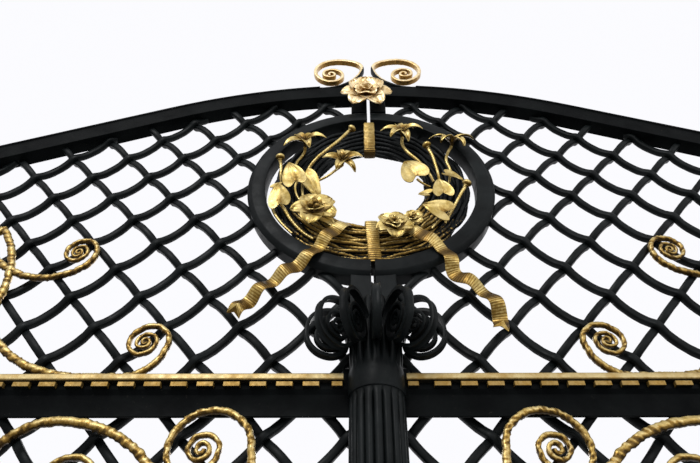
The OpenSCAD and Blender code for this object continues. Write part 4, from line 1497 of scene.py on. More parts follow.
@dataclass
class Flora:
    """Lilies, roses, buds and leaves on twisted stems, which lie on the wreath."""

    centre_z: float = 2743.0

    def twisted(self, marks: list[Point], radius: float) -> Array:
        """Rings of a twisted stem.

        Its section is a rounded square that turns once every 9 radii, along a smooth curve.

        Args:
            marks: Points that it passes through.
            radius: Its half thickness.

        Returns:
            Rings shaped stations, points, 3.
        """
        length = distance_along(curve_through(marks, 60))[-1]
        line = curve_through(marks, max(8, int(length / 3.2)))
        along = unit(np.gradient(line, axis=0))
        side = unit(np.cross(along, [0.05, -1.0, 0.03]))
        x, y = rounded_square(8, 0.5)[0].T
        turn = distance_along(line) / (radius * 1.45)
        c, s = np.cos(turn)[:, None], np.sin(turn)[:, None]
        size = radius * np.linspace(1.12, 0.86, len(line))[:, None, None]
        section = np.stack([x * c - y * s, x * s + y * c], -1) * size
        return sweep(line, side, np.cross(side, along), section)

    def lily(self, shell: Shell, at: Point, axis: Point, size: float, spins: tuple[float, ...]) -> None:
        """Adds a lily: narrow petals that rise and fall back, with stamens in its brown throat.

        Args:
            shell: Where it goes.
            at: Foot of the throat.
            axis: Direction that it opens to.
            size: Length of its longest petal, over 1.24.
            spins: Direction of each petal in degrees.
        """
        seat = (at, axis)
        throat = [(2.2, -16), (3.4, -9), (5.4, 0), (7.4, 6), (3.0, 8)]
        shell.turned(throat, size / 60, seat, soil_and_shade=0.5)
        for k, spin in enumerate(spins):
            petal = Petal(
                length=size * (1.24 - 0.08 * ((2 * k) % 3)), width=size * (0.60 - 0.05 * (k % 3)),
                outline=Outline.POINTED, rise=54 - 10 * (k % 2), fall=-42 - 16 * (k % 3),
                cup=0.5, ruffle=2.4, thick=2.2, seed=k,
            )
            petal.place(shell, seat, spin, (12, 7), (size * 0.05, size * 0.04), (1.0, 0.55))
        for k in range(5):
            a = math.radians(spins[0] + 30 + 72 * k)
            c, s = size * math.cos(a), size * math.sin(a)
            marks = [(c * r, s * r, size * high) for r, high in ((0.06, 0), (0.168, 0.26), (0.36, 0.36))]
            shell.add(facing(self.twisted(marks, 1.5), at, axis, 0), 0.9, 0.3)

    def rose(self, shell: Shell, at: Point, axis: Point, size: float, spin: float, inner: int = 0) -> None:
        """Adds an open rose: wide ruffled petals, smaller cupped ones and a knot of beads.

        Args:
            shell: Where it goes.
            at: Foot of its petals.
            axis: Direction that it opens to.
            size: Reach of the outer petals.
            spin: Direction of the first petal in degrees.
            inner: Petals in the innermost, upright row.
        """
        seat = (at, axis)
        second = (4, 0.54, 50, 0, 0.42) if inner else (3, 0.44, 50, 0, 0.42)
        rows = ((5, 1.0, 28, -20, 0.26), second, (inner, 0.42, 70, 26, 0.5))
        for row, (count, reach, rise, fall, cup) in enumerate(rows):
            offset, soil_and_shade = (size * 0.06, size * 0.08 * row), (0.85 - 0.2 * row, 0.1)
            for k in range(count):
                petal = Petal(
                    length=size * reach, width=size * reach * (1.08 - 0.08 * ((k + row) % 3)),
                    outline=Outline.ROUND, rise=rise, fall=fall - 4 * (k % 2), cup=cup,
                    ruffle=size * 0.055 * (1 - 0.25 * row), thick=2.2, seed=k + 3 * row,
                )
                petal.place(shell, seat, spin + 360 / count * (k + 0.5 * row), (12, 11), offset, soil_and_shade)
        bead = [(0.5, 0.0), (4.2, 1.4), (5.8, 5.2), (4.2, 9.4), (0.5, 10.8)]
        for k in range(3):
            a = math.radians(spin + 30 + 120 * k)
            foot = np.array([[0.17 * math.cos(a), 0.17 * math.sin(a), 0.22]]) * size
            shell.turned(bead, size / 42, (tuple(facing(foot, at, axis, 0)[0]), axis), 10, 0.42)
        shell.turned([(3, -12), (9, -6), (12, 0), (9, 5), (3, 9)], size / 40, seat, soil_and_shade=0.7)

    def bud(self, shell: Shell, at: Point, axis: Point, radius: float) -> None:
        """Adds a bud: a cap that sits on dark rings at the end of its stem.

        Args:
            shell: Where it goes.
            at: Middle of the cap.
            axis: Direction that it points to.
            radius: Half its width.
        """
        cap = [
            (0.25, -1.7), (0.36, -1.2), (0.5, -1.0), (0.42, -0.85), (0.6, -0.62), (0.5, -0.45),
            (0.98, -0.25), (1.12, 0.05), (1.05, 0.4), (0.8, 0.72), (0.4, 0.92), (0.1, 0.96),
        ]
        shell.turned(cap, radius, (at, axis), 16)
        shell.turned([(0.3, -0.9), (0.56, -0.8), (0.56, -0.5), (0.3, -0.4)], radius, (at, axis), 14, 0.9)

    def heart(self, shell: Shell, at: Point, axis: Point, size: float, spin: float, wide: float) -> None:
        """Adds a heart leaf, whose notch lies at the given place, with a sunk middle vein.

        Args:
            shell: Where it goes.
            at: Place of the notch, where the stalk meets it.
            axis: Direction that it faces.
            size: Length from notch to tip.
            spin: Direction of the tip in degrees.
            wide: Width over length.
        """
        leaf = Petal(size, size * wide, Outline.HEART, 14, -22, 0.14, size * 0.03, 2.2, int(spin) % 7)
        leaf.place(shell, (at, axis), spin, (16, 13), (0, 0), (0.16, 0.28))

    def left(self) -> Shell:
        """The left half's flowers, buds, leaves and stems, in heights above the wreath's centre.

        Returns:
            The shell that holds them.
        """
        shell = Shell(self.centre_z)
        self.lily(shell, (-184, -32, 145), (-0.05, -0.96, 0.28), 55, (-4, 58, 126, 208, 288))
        self.lily(shell, (-75, -30, 62), (0.04, -0.995, 0.04), 49, (12, 60, 106, 172, 248, 312))
        self.bud(shell, (-52, -30, 218), (0.66, -0.30, 0.69), 11.0)
        self.bud(shell, (-250, -30, 86), (-0.05, -0.35, 0.94), 11.5)
        for leaf in (
            ((-180, -16, 26), (0.28, -0.95, -0.12), 96, 300, 0.62),
            ((-202, -28, -12), (-0.12, -0.98, -0.14), 74, 108, 0.88),
            ((-235, -26, -96), (-0.22, -0.96, -0.12), 74, 99, 0.82),
            ((-258, -18, -26), (-0.3, -0.9, 0.3), 30, 30, 0.95),
            ((-120, -14, -140), (0.20, -0.96, -0.05), 42, 318, 0.80),
        ):
            self.heart(shell, *leaf)
        self.rose(shell, (-146, -22, -122), (0.06, -0.992, 0.10), 59, 43)
        for radius, *marks in (
            (3.7, (-184, -26, 138), (-186, -14, 128), (-196, -8, 110), (-206, -6, 92), (-210, -4, 50)),
            (3.2, (-76, -24, 58), (-94, -18, 44), (-118, -14, 22), (-146, -6, 10), (-170, -2, -6)),
            (
                4.0, (-62, -28, 206), (-84, -30, 168), (-112, -30, 131),
                (-150, -24, 87), (-174, -10, 50), (-184, 0, 10),
            ),
            (3.8, (-249, -26, 70), (-245, -30, 50), (-243, -22, 14), (-240, -4, -16)),
            (3.0, (-197, -25, -8), (-202, -18, -28), (-196, -10, -52), (-182, -6, -76)),
            (4.0, (-236, -22, -94), (-224, -14, -108), (-206, -8, -140), (-177, -4, -178), (-146, -4, -206)),
            (3.4, (-262, -6, -70), (-252, -8, -112), (-230, -6, -150), (-200, -4, -186)),
            (3.4, (-160, -14, -92), (-178, -10, -60), (-184, -6, -20), (-186, -6, 10)),
        ):
            shell.add(self.twisted(marks, radius), 1.0)
        return shell

    def right(self) -> Shell:
        """The right half's flowers, buds, leaves and stems, in heights above the wreath's centre.

        Returns:
            The shell that holds them.
        """
        shell = Shell(self.centre_z)
        self.lily(shell, (94, -32, 188), (-0.04, -0.955, 0.29), 53, (-6, 46, 105, 174, 228, 286))
        self.lily(shell, (233, -30, 143), (0.06, -0.80, 0.60), 55, (6, 62, 118, 176, 230, 300))
        self.bud(shell, (162, -30, 136), (-0.32, -0.32, 0.89), 11.5)
        self.bud(shell, (253, -30, -30), (0.50, -0.30, 0.81), 11.5)
        for leaf in (
            ((123, -26, 8), (-0.25, -0.95, 0.05), 82, 110, 0.92),
            ((188, -26, -60), (0.1, -0.97, -0.05), 52, 98, 1.1),
            ((203, -28, 14), (0.2, -0.96, 0.2), 50, 338, 0.7),
            ((150, -22, -60), (-0.3, -0.92, 0.25), 30, 150, 1.1),
            ((184, -28, -136), (0.06, -0.98, -0.12), 60, 156, 1.1),
        ):
            self.heart(shell, *leaf)
        self.rose(shell, (54, -20, -178), (0.05, -0.992, 0.10), 47, 60, 3)
        self.rose(shell, (104, -14, -146), (-0.15, -0.98, 0.0), 28, 30)
        for radius, *marks in (
            (
                3.8, (95, -26, 180), (94, -18, 156), (106, -20, 120),
                (134, -18, 82), (160, -10, 40), (172, -2, 10),
            ),
            (3.8, (166, -26, 122), (174, -24, 98), (180, -20, 60), (184, -16, 30), (188, -4, 0)),
            (
                3.6, (231, -26, 135), (218, -22, 108), (211, -22, 76),
                (218, -18, 40), (214, -8, 10), (202, -2, -24),
            ),
            (3.0, (124, -22, 0), (138, -14, -8), (160, -6, -16)),
            (3.8, (246, -27, -44), (235, -24, -62), (216, -18, -98), (202, -12, -124), (186, -2, -150)),
            (3.2, (184, -24, -137), (172, -12, -150), (150, -6, -172)),
            (3.4, (70, -10, -176), (110, -6, -160), (146, -4, -130)),
        ):
            shell.add(self.twisted(marks, radius), 1.0)
        return shell

    def build(self, gilt: Material) -> None:
        """Makes the flowers of both halves.

        Args:
            gilt: Finish of the flowers.
        """
        for leaf, shell in ((Leaf.LEFT, self.left()), (Leaf.RIGHT, self.right())):
            piece = shell.make(leaf.named("flowers_and_stems"), gilt, 1.0, 70)
            settle(piece, leaf.body, GILT_SLOT, leaf.named("wreath_flowers"))


@dataclass
class TopFlower:
    """The wide rose that covers the slit at the crown."""

    x: float = -6.0
    y: float = -31.0
    z: float = 3142.0
    size: float = 77.0
    peg_x: float = 29.0
    peg_y: float = -38.0

    def build(self, gilt: Material) -> None:
        """Makes the rose: seven wide petals, two rows inside them, a knob, and a peg to the right leaf.

        Args:
            gilt: Finish of the rose.
        """
        shell = Shell()
        seat = ((self.x, self.y, self.z), (0.0, -0.996, 0.09))
        outer = (
            (178, 1.0, 20, -16), (3, 1.0, 20, -16), (237, 1.0, 26, -26), (302, 1.0, 26, -26),
            (52, 0.92, 34, -4), (128, 0.92, 34, -4), (90, 0.84, 40, 10),
        )
        for k, (spin, reach, rise, fall) in enumerate(outer):
            petal = Petal(self.size * reach, self.size * 0.96, Outline.ROUND, rise, fall, 0.22, 2.8, 3.0, k)
            petal.place(shell, seat, spin, (14, 13), (4, 0), (0.6, 0.12))
        for k, spin in enumerate((20, 92, 160, 232, 306)):
            petal = Petal(self.size * 0.56, self.size * 0.60, Outline.ROUND, 46, -8, 0.36, 2.2, 2.8, k + 2)
            petal.place(shell, seat, spin, (12, 11), (4, 5), (0.7, 0.0))
        for k, spin in enumerate((50, 175, 290)):
            petal = Petal(self.size * 0.36, self.size * 0.40, Outline.ROUND, 70, 24, 0.6, 1.2, 2.4, k + 5)
            petal.place(shell, seat, spin, (10, 9), (3, 8), (0.7, 0.0))
        shell.turned([(2, 0), (7, 3), (9, 9), (6, 15), (1, 17)], 1.0, seat, 14, 0.4)
        shell.turned([(8, -14), (16, -10), (20, -2), (14, 4), (3, 6)], 1.0, seat, 18, 0.6)
        peg = [(10, -26), (12, -18), (12, 2), (6, 4)]
        shell.turned(peg, 1.0, ((self.peg_x, self.peg_y, self.z - 8), (0.0, -1.0, 0.0)))
        settle(shell.make("crown_rose", gilt, 1.0, 70), Leaf.RIGHT.body, GILT_SLOT, "top_flower")


@dataclass
class Ribbons:
    """Ribbed ribbons that hang in waves from the wreath over the ring."""

    ring_r: float = 332.0
    ring_z: float = 2743.0
    width: float = 33.0
    thick: float = 2.6
    front: float = -18.6
    rib_pitch: float = 5.4
    tip: float = 34.0
    notch: float = 24.0
    swing: float = 11.0

    def strip(self, flat: Array, heading: Array, wave: Array, twist: Array) -> Array:
        """Rings of a ribbon.

        The width runs along cos(twist) times the line's normal in the gate's plane plus
        sin(twist) times depth. Cross ribs raise both faces by 0.5 |sin(pi s / pitch)|^0.8 at
        distance s. The last station is cut to a V by moving its middle back.

        Args:
            flat: Centre line in x and z.
            heading: Its direction in radians.
            wave: Depth at each point.
            twist: Turn of the width about the line, in radians.

        Returns:
            Rings shaped stations, points, 3.
        """
        run = distance_along(flat)
        line = upright_line(flat, wave)
        wide = left_of(heading) * np.cos(twist)[:, None] + straight_back(line) * np.sin(twist)[:, None]
        along = unit(np.gradient(line, axis=0))
        face = unit(np.cross(wide, along))
        rib = 0.5 * np.abs(np.sin(np.pi * run / self.rib_pitch))[:, None] ** 0.8
        v = np.array([-1, -0.8, -0.4, 0, 0.4, 0.8, 1.0])
        across = np.broadcast_to(v * self.width / 2, (len(run), 7))
        rise = self.thick / 2 * (1 - 0.55 * v**6) + rib * (1 - v**6)
        curl = 1.1 * v**2
        top, low = np.stack([across, curl + rise], -1), np.stack([across, curl - rise], -1)
        section = np.concatenate([top, low[:, ::-1]], 1)
        rings = sweep(line, wide, face, section)
        tip = np.clip((run - (run[-1] - self.tip)) / self.tip, 0, 1)[:, None]
        cut = np.concatenate([1 - np.abs(v), (1 - np.abs(v))[::-1]])
        return rings - along[:, None] * (tip * cut * self.notch)[..., None]

    def dressed(self, flat: Array, heading: Array, waves: float, phase: float) -> Shell:
        """Waves a ribbon's line in depth, and paints shade into its grooves and on the faces that look down.

        Args:
            flat: Centre line in x and z.
            heading: Its direction in radians.
            waves: Waves along it.
            phase: Share of a wave at its start.

        Returns:
            The ribbon.
        """
        run = distance_along(flat)
        t = run / run[-1]
        start = np.clip(t / 0.10, 0, 1) ** 0.7
        swing = self.swing * np.sin(2 * np.pi * (t * waves + phase)) * (0.5 + 0.5 * t)
        wave = (self.front - 7.5 - swing) * start
        twist = 0.22 * np.sin(2 * np.pi * (t * waves / 2 + phase + 0.2))
        groove = 1 - np.abs(np.sin(np.pi * run / self.rib_pitch))
        # painted shade: brown in the rib grooves and along each fold, less at the edges
        fold_shade = 0.25 + 0.42 * np.cos(2 * np.pi * (t * waves + phase))
        soil_and_shade = np.clip(0.5 * groove + fold_shade, 0, 1)[:, None] * np.array([0.2, 1, 1, 1, 1, 1, 0.2] + [1.0] * 7)
        shell = Shell()
        shell.add(self.strip(flat, heading, wave, twist), 1.0, soil_and_shade)
        return shell

    def left(self) -> Shell:
        """The left ribbon, from the wreath's inner edge to its cut end.

        Returns:
            The ribbon.
        """
        r = self.ring_r
        parts = [(r * 1.7, -10), (r * 1.27, 19), (r * 1.22, -22)]
        return self.dressed(*arc_path((r * 0.185, self.ring_z - r * 0.455), -49, parts, 1.2), 5.4, 0.1)

    def right(self) -> Shell:
        """The right ribbon, from the wreath's inner edge to its cut end.

        Returns:
            The ribbon.
        """
        r, length = self.ring_r, 112.0
        parts = [
            (r * 0.19, 0), (length * 0.4, 20), (length * 0.88, -59),
            (length * 0.47, 63), (length, -72), (length * 0.9, -14),
        ]
        return self.dressed(*arc_path((r * 0.26, self.ring_z - r * 0.50), -52, parts, 1.2), 5.0, 0.25)

    def build(self, gilt: Material) -> None:
        """Makes both ribbons.

        Args:
            gilt: Finish of the ribbons.
        """
        for leaf, shell in ((Leaf.LEFT, self.left()), (Leaf.RIGHT, self.right())):
            shell.fit(leaf, "ribbed_ribbon", gilt, 50, GILT_SLOT, "ribbon")


@dataclass
class Finials:
    """Flat bars that leave the arch at the slit, turn up and roll outwards, gilded inside."""

    arch: ArchLine
    roll: float = 68.6
    thick: float = 12.6
    foot_thick: float = 5.2
    width: float = 20.0
    start_x: float = 154.7
    slit_x: float = 5.3
    sunk: float = 7.0
    mid_y: float = -4.0
    inward: float = 11.0

    def build(self, gilt: Material) -> None:
        """Makes both finials.

        The bar is a flat rounded section carried along the roll; its width and thickness fall
        towards the heart. The bar leaves the arch black. Gilding starts on its inner side after
        a tenth of the length, on its front edge after a quarter, and all round after a third.

        Args:
            gilt: Finish of the finials.
        """
        r = self.roll
        start_z = float(self.arch.top(np.array(self.start_x))) - self.sunk + self.foot_thick / 2
        parts = [
            (self.inward / r, 0), (2.0, -76), (0.67, -71), (1.7, -39), (1.0, -141),
            (0.56, -82), (0.54, -150), (0.32, -180), (0.19, -150), (0.11, -160),
        ]
        scaled = [(r * share, turn) for share, turn in parts]
        flat, heading = arc_path((self.start_x, start_z), 176, scaled, 3.0)
        run = distance_along(flat)
        t = run / run[-1]
        section, angle = rounded_square(16, 0.36)
        grow = np.clip(t / 0.2, 0, 1) ** 1.5
        thin = 1 - 0.35 * np.clip(t * 1.6 - 0.6, 0, 1)
        thick = (self.foot_thick + (self.thick - self.foot_thick) * grow) * thin
        size = half_sizes(thick, self.width * (1 - 0.12 * t), angle.size)
        marks = 1 + 0.03 * smooth_noise(run[:, None], angle[None], 9, (31.0, 17.0))
        line = upright_line(flat, self.mid_y)
        rings = sweep(line, left_of(heading), straight_back(line), section[None] * size * marks[..., None])
        floor = self.arch.top(rings[..., 0]) - self.sunk - 0.2
        rings[..., 2] = np.where(t[:, None] < 0.2, np.maximum(rings[..., 2], floor), rings[..., 2])
        rings[..., 0] = np.maximum(rings[..., 0], self.slit_x)
        inner = np.clip(-np.cos(angle) * 2.2 + 0.4, 0, 1)[None]
        front = np.clip(-np.sin(angle) * 2.4 - 0.9, 0, 1)[None]
        gild = inner * np.clip((t - 0.10) / 0.06, 0, 1)[:, None]
        gild = np.maximum(gild, front * np.clip((t - 0.24) / 0.06, 0, 1)[:, None])
        gild = np.maximum(gild, np.clip((t - 0.36) / 0.08, 0, 1)[:, None])
        cloud = 0.75 + 0.4 * smooth_noise(run[:, None], angle[None], 4, (26.0, 13.0))
        soil_and_shade = 0.12 * (1 - front) * np.clip(cloud, 0, 1)
        for leaf in Leaf:
            shell = Shell()
            shell.add(rings, gild, soil_and_shade)
            shell.fit(leaf, "rolled_finial", gilt, 45, PAINT_SLOT, "finial")


@dataclass
class Column:
    """The half round reeded column that covers the slit, with its foot and smooth collar."""

    radius: float = 46.0
    reed: float = 9.0
    pitch: float = 20.0
    y: float = -20.0
    bottom: float = 80.0
    foot: float = 160.0
    collar_low: float = 2091.0
    collar_high: float = 2148.0
    top: float = 2216.0
    collar: float = 57.0
    shaft: float = 52.0
    tie_x: Pair = (7.2, 50.8)
    tie_back: float = -14.0
    tie_rise: float = 117.0

    def reeded(self, a: Array) -> Array:
        """Radius at angle a, in radians from the front.

        At offset d from the nearest reed's middle it is R cos d + sqrt(r^2 - R^2 sin^2 d),
        the far side of a circle of radius r set on the radius R; grooves are cut deeper.

        Args:
            a: Angles.

        Returns:
            Radius at each of them.
        """
        pitch = math.radians(self.pitch)
        d = (a + pitch / 2) % pitch - pitch / 2
        bulge = np.sqrt(np.clip(self.reed**2 - (self.radius * np.sin(d)) ** 2, 0, None))
        groove = 3.2 * np.clip(np.abs(d) / (pitch / 2) - 0.72, 0, 1) / 0.28
        return self.radius * np.cos(d) + bulge - groove

    def half_rings(self, levels: Array, smooth: Array, plain: Array) -> Array:
        """Rings of the half round shaft: reeded where smooth is 0, of radius plain where it is 1.

        Args:
            levels: Height of each ring.
            smooth: How far each is smooth, from 0 to 1.
            plain: Radius of each where smooth.

        Returns:
            Rings shaped levels, points, 3.
        """
        a = np.radians(np.linspace(-90, 90, 145))
        r = self.reeded(a)[None] * (1 - smooth[:, None]) + plain[:, None] * smooth[:, None]
        y = self.y - r * np.cos(a)
        y[:, [0, -1]] = self.y
        return np.stack([r * np.sin(a), y, np.broadcast_to(levels[:, None], r.shape)], -1)

    def build(self, paint: Material) -> None:
        """Makes the shaft up to the capital, with the block that ties it to the right stile.

        Args:
            paint: Finish of the column.
        """
        shell = Shell()
        low, high, foot = self.collar_low, self.collar_high, self.foot
        wide, shaft = self.collar, self.shaft
        stops = [
            (self.bottom, 1, 55.5), (self.bottom + 1.5, 1, wide), (foot - 9, 1, wide), (foot - 5, 1, 56),
            (foot - 1, 1, 53), (foot, 1, 50), (foot + 2, 0.3, shaft), (foot + 5, 0, shaft),
            *((z, 0, shaft) for z in np.linspace(foot + 5, low - 22, 40)[1:-1]),
            (low - 22, 0, shaft), (low - 12, 0.25, 53), (low - 4, 0.8, 53.5), (low, 1, 54),
            (low + 1, 1, 56.4), (low + 3, 1, wide), (high - 16, 1, 56.8), (high - 8, 1, 56),
            (high - 2, 0.92, 54.6), (high + 5, 0.72, 53.4), (high + 13, 0.4, 52.5),
            (high + 24, 0.1, shaft), (high + 34, 0, shaft), (self.top, 0, shaft),
        ]
        shell.add(self.half_rings(*np.array(stops, float).T), 0.0)
        levels = np.array([self.bottom + 0.3, 700, 1500, self.top + self.tie_rise])
        shell.add(upright_block(self.tie_x, (self.y, self.tie_back), levels), 0.0)
        settle(shell.make("reeded_column", paint, 1.0, 50), Leaf.RIGHT.body, PAINT_SLOT, "column")


@dataclass
class Capital:
    """Grooved straps that spring from the neck and roll over outwards, round a reeded core."""

    column: Column
    neck: float = 2216.0
    height: float = 107.0
    count: int = 7
    step: float = 26.0
    radius: float = 49.1
    thick: float = 9.0
    width: float = 19.0
    root: float = 44.2

    def strap(self, k: int) -> Array:
        """One strap.

        It rises from the neck, bends outwards and rolls up. Its section is hollow on the outer
        face, between two raised edges, and its width narrows towards the heart.

        Args:
            k: Which strap, counted from the middle one.

        Returns:
            Rings shaped stations, points, 3.
        """
        r = self.radius
        rolls = half_turns(r, 0.78, 0.6, 0.44, 0.3, 0.18)
        parts = [(self.height - r * 1.82, 0), (r * 1.06, -90), (r, -90), (r * 0.28, 0), (r, -90), *rolls]
        flat, heading = arc_path((self.root, self.neck), 90, parts, 3.4)
        t = distance_along(flat)
        t = t / t[-1]
        foot = 0.8 + 0.2 * np.clip(t * 12, 0, 1)
        half_w = self.width / 2 * foot * (1 - 0.3 * np.clip(t * 1.8 - 0.8, 0, 1))
        half_t = self.thick / 2 * (1 - 0.35 * t)
        across = np.array([-1, -0.86, -0.6, 0, 0.6, 0.86, 1, 0.9, 0, -0.9])
        out = np.array([0.3, 1.0, 0.35, 0.05, 0.35, 1.0, 0.3, -1, -1, -1])
        section = np.stack([half_t[:, None] * out, half_w[:, None] * across], -1)
        a = math.radians(-90 + k * self.step)
        radial = np.array([math.cos(a), math.sin(a), 0.0])
        tangent = np.array([-math.sin(a), math.cos(a), 0.0])
        up = np.array([0.0, 0.0, 1.0])
        line = flat[:, :1] * radial + [0, self.column.y, 0] + flat[:, 1:] * up
        side = -np.sin(heading)[:, None] * radial + np.cos(heading)[:, None] * up
        return sweep(line, side, np.broadcast_to(tangent, line.shape), section)

    def build(self, paint: Material) -> None:
        """Makes the capital's straps and core.

        Args:
            paint: Finish of the capital.
        """
        shell = Shell()
        for k in range(self.count):
            shell.add(self.strap(k - (self.count - 1) // 2), 0.0)
        a = np.radians(np.linspace(-90, 90, 145))
        level = self.neck + np.array([0, 30, 60, 90, self.height - 6, self.height])
        share = np.array([0.995, 0.9312, 0.8742, 0.828, 0.774, 0.6364])
        r = self.column.reeded(a)[None] * share[:, None]
        y = self.column.y - 0.4 - r * np.cos(a)
        shell.add(np.stack([r * np.sin(a), y, np.broadcast_to(level[:, None], r.shape)], -1), 0.0)
        settle(shell.make("rolled_strap_capital", paint, 1.0, 45), Leaf.RIGHT.body, PAINT_SLOT, "capital")


@dataclass
class Softened:
    """Frame members kept from the solids, with every arris rounded as worked iron is."""

    nodes: dict[str, Thing]

    def piece(self, node: str, name: str, body: str, finish: Material, width: float) -> None:
        """Copies a node, welds and flattens its faces and rounds its edges.

        Args:
            node: Node of the frame to copy.
            name: Name of the new piece.
            body: Body that it rides on.
            finish: Its material.
            width: Width of the rounding in metres.
        """
        mesh = self.nodes[node].data.copy()
        mesh.name = name
        work = bmesh.new()
        work.from_mesh(mesh)
        bmesh.ops.remove_doubles(work, verts=work.verts, dist=0.00002)
        bmesh.ops.dissolve_limit(work, angle_limit=math.radians(0.6), verts=work.verts, edges=work.edges)
        bmesh.ops.recalc_face_normals(work, faces=work.faces)
        work.to_mesh(mesh)
        work.free()
        mesh.polygons.foreach_set("use_smooth", np.zeros(len(mesh.polygons), bool))
        mesh.materials.clear()
        mesh.materials.append(finish)
        store_shares(mesh, 0.0, 0.0)
        piece = linked(name, mesh)
        bevel = piece.modifiers.new("arris", "BEVEL")
        bevel.width = width
        bevel.segments = 2
        bevel.limit_method = "ANGLE"
        bevel.angle_limit = math.radians(30)
        settle(piece, body, PAINT_SLOT, node)

    def build(self, paint: Material, shaded: Material) -> None:
        """Softens the posts, hinges, sill, stiles, arched rails and foot rails.

        Args:
            paint: Finish of all but the arched rails.
            shaded: Finish of the arched rails, the paint darkened as painted shade.
        """
        for leaf in Leaf:
            for node, name, body, finish, width in (
                ("hinge_stile", "outer_stile", leaf.body, paint, 0.003),
                ("meeting_stile", "slit_stile", leaf.body, paint, 0.003),
                ("arch_rail", "arched_top_rail", leaf.body, shaded, 0.002),
                ("bottom_rail", "foot_rail", leaf.body, paint, 0.003),
                ("hinge_eyes", "hinge_straps", leaf.body, paint, 0.0015),
                ("post", "capped_post", "posts", paint, 0.004),
                ("pintles", "hinge_pintles", "posts", paint, 0.001),
            ):
                self.piece(leaf.named(node), leaf.named(name), body, finish, width)
        self.piece("sill", "sill_and_stop", "posts", paint, 0.0015)


def looking(right: Array, up: Array, forward: Array) -> Matrix:
    """Turn of a camera or lamp that looks forward, with up above it in view."""
    return Matrix([[*row] for row in np.stack([right, up, -forward], 1)]).to_4x4()


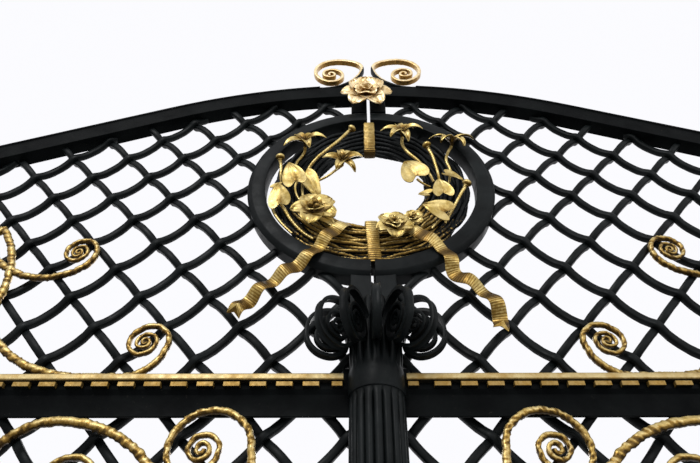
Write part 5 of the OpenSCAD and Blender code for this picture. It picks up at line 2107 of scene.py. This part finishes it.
@dataclass
class Studio:
    """Camera at the photograph's place, pale floor, white surround and soft lamps."""

    place: Point = (1.94397, -1.0784, 1.5008)
    yaw: float = -0.0174838
    pitch: float = 0.779633
    roll: float = 0.00709313
    lens: float = 31.058

    def camera(self) -> None:
        """Makes the camera from its yaw, pitch and roll."""
        cp, sp = math.cos(self.pitch), math.sin(self.pitch)
        forward = np.array([math.sin(self.yaw) * cp, math.cos(self.yaw) * cp, sp])
        right = np.array([math.cos(self.yaw), -math.sin(self.yaw), 0.0])
        up = np.cross(right, forward)
        cr, sr = math.cos(self.roll), math.sin(self.roll)
        right, up = right * cr + up * sr, up * cr - right * sr
        data = bpy.data.cameras.new("street_view")
        data.lens = self.lens
        data.sensor_width = 36.0
        data.clip_start = 0.02
        camera = linked("street_view", data)
        camera.matrix_world = looking(right, up, forward)
        camera.location = self.place
        bpy.context.scene.camera = camera

    def world(self) -> None:
        """Lights softly from all round, and shows white to the camera and to mirror rays."""
        world = bpy.data.worlds.new("overcast")
        world.use_nodes = True
        bpy.context.scene.world = world
        tree = world.node_tree
        light, white = tree.nodes["Background"], tree.nodes.new("ShaderNodeBackground")
        sky, surround = (0.93, 0.95, 1.0, 1), (0.97, 0.97, 1.0, 1)
        for node, colour, strength in ((light, sky, 0.62), (white, surround, 1.0)):
            node.inputs["Color"].default_value = colour
            node.inputs["Strength"].default_value = strength
        path = tree.nodes.new("ShaderNodeLightPath")
        seen = path.outputs["Is Camera Ray"]
        for ray in ("Is Glossy Ray", "Is Transmission Ray"):
            either = tree.nodes.new("ShaderNodeMath")
            either.operation = "MAXIMUM"
            tree.links.new(seen, either.inputs[0])
            tree.links.new(path.outputs[ray], either.inputs[1])
            seen = either.outputs[0]
        mix = tree.nodes.new("ShaderNodeMixShader")
        for place, source in enumerate((seen, light.outputs[0], white.outputs[0])):
            tree.links.new(source, mix.inputs[place])
        tree.links.new(mix.outputs[0], tree.nodes["World Output"].inputs["Surface"])

    def floor(self) -> None:
        """Makes the plain pale floor."""
        graph = Graph("pale_floor")
        cloud = graph.ramp(graph.noise(3, 3, 0.5), 0.3, 0.7, 0, 1)
        colour = graph.mix(cloud, (0.60, 0.60, 0.60), (0.64, 0.64, 0.63))
        graph.link(colour, graph.shader.inputs["Base Color"])
        graph.shader.inputs["Roughness"].default_value = 0.9
        mesh = bpy.data.meshes.new("floor")
        middle, half = SLIT_X * MM, 14.0
        corners = [(middle + x * half, y * half, 0) for x, y in ((-1, -1), (1, -1), (1, 1), (-1, 1))]
        mesh.from_pydata(corners, [], [(0, 1, 2, 3)])
        mesh.materials.append(graph.material)
        floor = linked("floor", mesh)

    def lamp(self, name: str, place: Point, target: Point, power: float, size: float) -> None:
        """Adds a square soft lamp that looks at a point.

        Args:
            name: Name of the lamp.
            place: Where it hangs.
            target: Point that it looks at.
            power: Power in watts.
            size: Width of its square in metres.
        """
        data = bpy.data.lights.new(name, "AREA")
        data.energy = power
        data.size = size
        lamp = linked(name, data)
        forward = unit(np.array(target) - np.array(place))
        right = unit(np.cross(forward, [0, 0, 1]))
        up = np.cross(right, forward)
        lamp.matrix_world = looking(right, up, forward)
        lamp.location = place

    def build(self) -> None:
        """Sets the whole studio."""
        bpy.context.scene.view_settings.view_transform = "Standard"
        self.camera()
        self.world()
        self.floor()
        self.lamp("front_key", (0.2, -4.6, 5.6), (1.98, 0, 2.2), 175, 2.4)
        self.lamp("front_fill", (4.6, -4.2, 3.4), (1.98, 0, 2.0), 60, 3.0)
        self.lamp("back_fill", (2.6, 4.8, 5.2), (1.98, 0, 1.8), 110, 3.0)


def main() -> None:
    """Builds the studio and every sub-assembly in order."""
    logging.basicConfig(level=logging.INFO, format="%(name)s: %(message)s")
    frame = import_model()
    Studio().build()
    paint = SatinPaint().make("satin_black_paint")
    gilt = Gilding().make("aged_gilding")
    pale = Gilding(cream=(0.86, 0.70, 0.43), gold=(0.66, 0.47, 0.20), amber=(0.36, 0.19, 0.04))
    faded = pale.make("pale_gilding")
    # painted shade: a darker copy of the paint for the mid rail and arched rails
    shaded = SatinPaint(deep=(0.0012, 0.0016, 0.0018), dusty=(0.0036, 0.0046, 0.0047), gloss=0.03)
    shade_darkened_rail_paint = shaded.make("shade_darkened_rail_paint")
    # painted shade: the cornice strip shows black paint on its underside
    strip = Gilding(cream=(0.47, 0.37, 0.18), gold=(0.34, 0.225, 0.075), shade_underside_black=True, rough=(0.40, 0.62))
    # painted shade: the scrolls brown from their middle height downwards
    scroll = Gilding(cream=(0.60, 0.47, 0.21), gold=(0.36, 0.25, 0.067), shade=(0.30, -0.80, 0.85))
    arch, medallion, column = ArchLine(), Medallion(), Column()
    wreath = Wreath(medallion)
    Softened(frame["nodes"]).build(paint, shade_darkened_rail_paint)
    MidRail().build(shade_darkened_rail_paint, strip.make("cornice_gilding"))
    medallion.build(paint)
    Lattice(arch, medallion).build(paint)
    Scrollwork().build(scroll.make("scroll_gilding"))
    wreath.build(gilt)
    wreath.bands(gilt)
    Flora().build(gilt)
    Ribbons().build(gilt)
    Finials(arch).build(faded)
    TopFlower().build(faded)
    column.build(paint)
    Capital(column).build(paint)


if __name__ == "__main__":
    main()
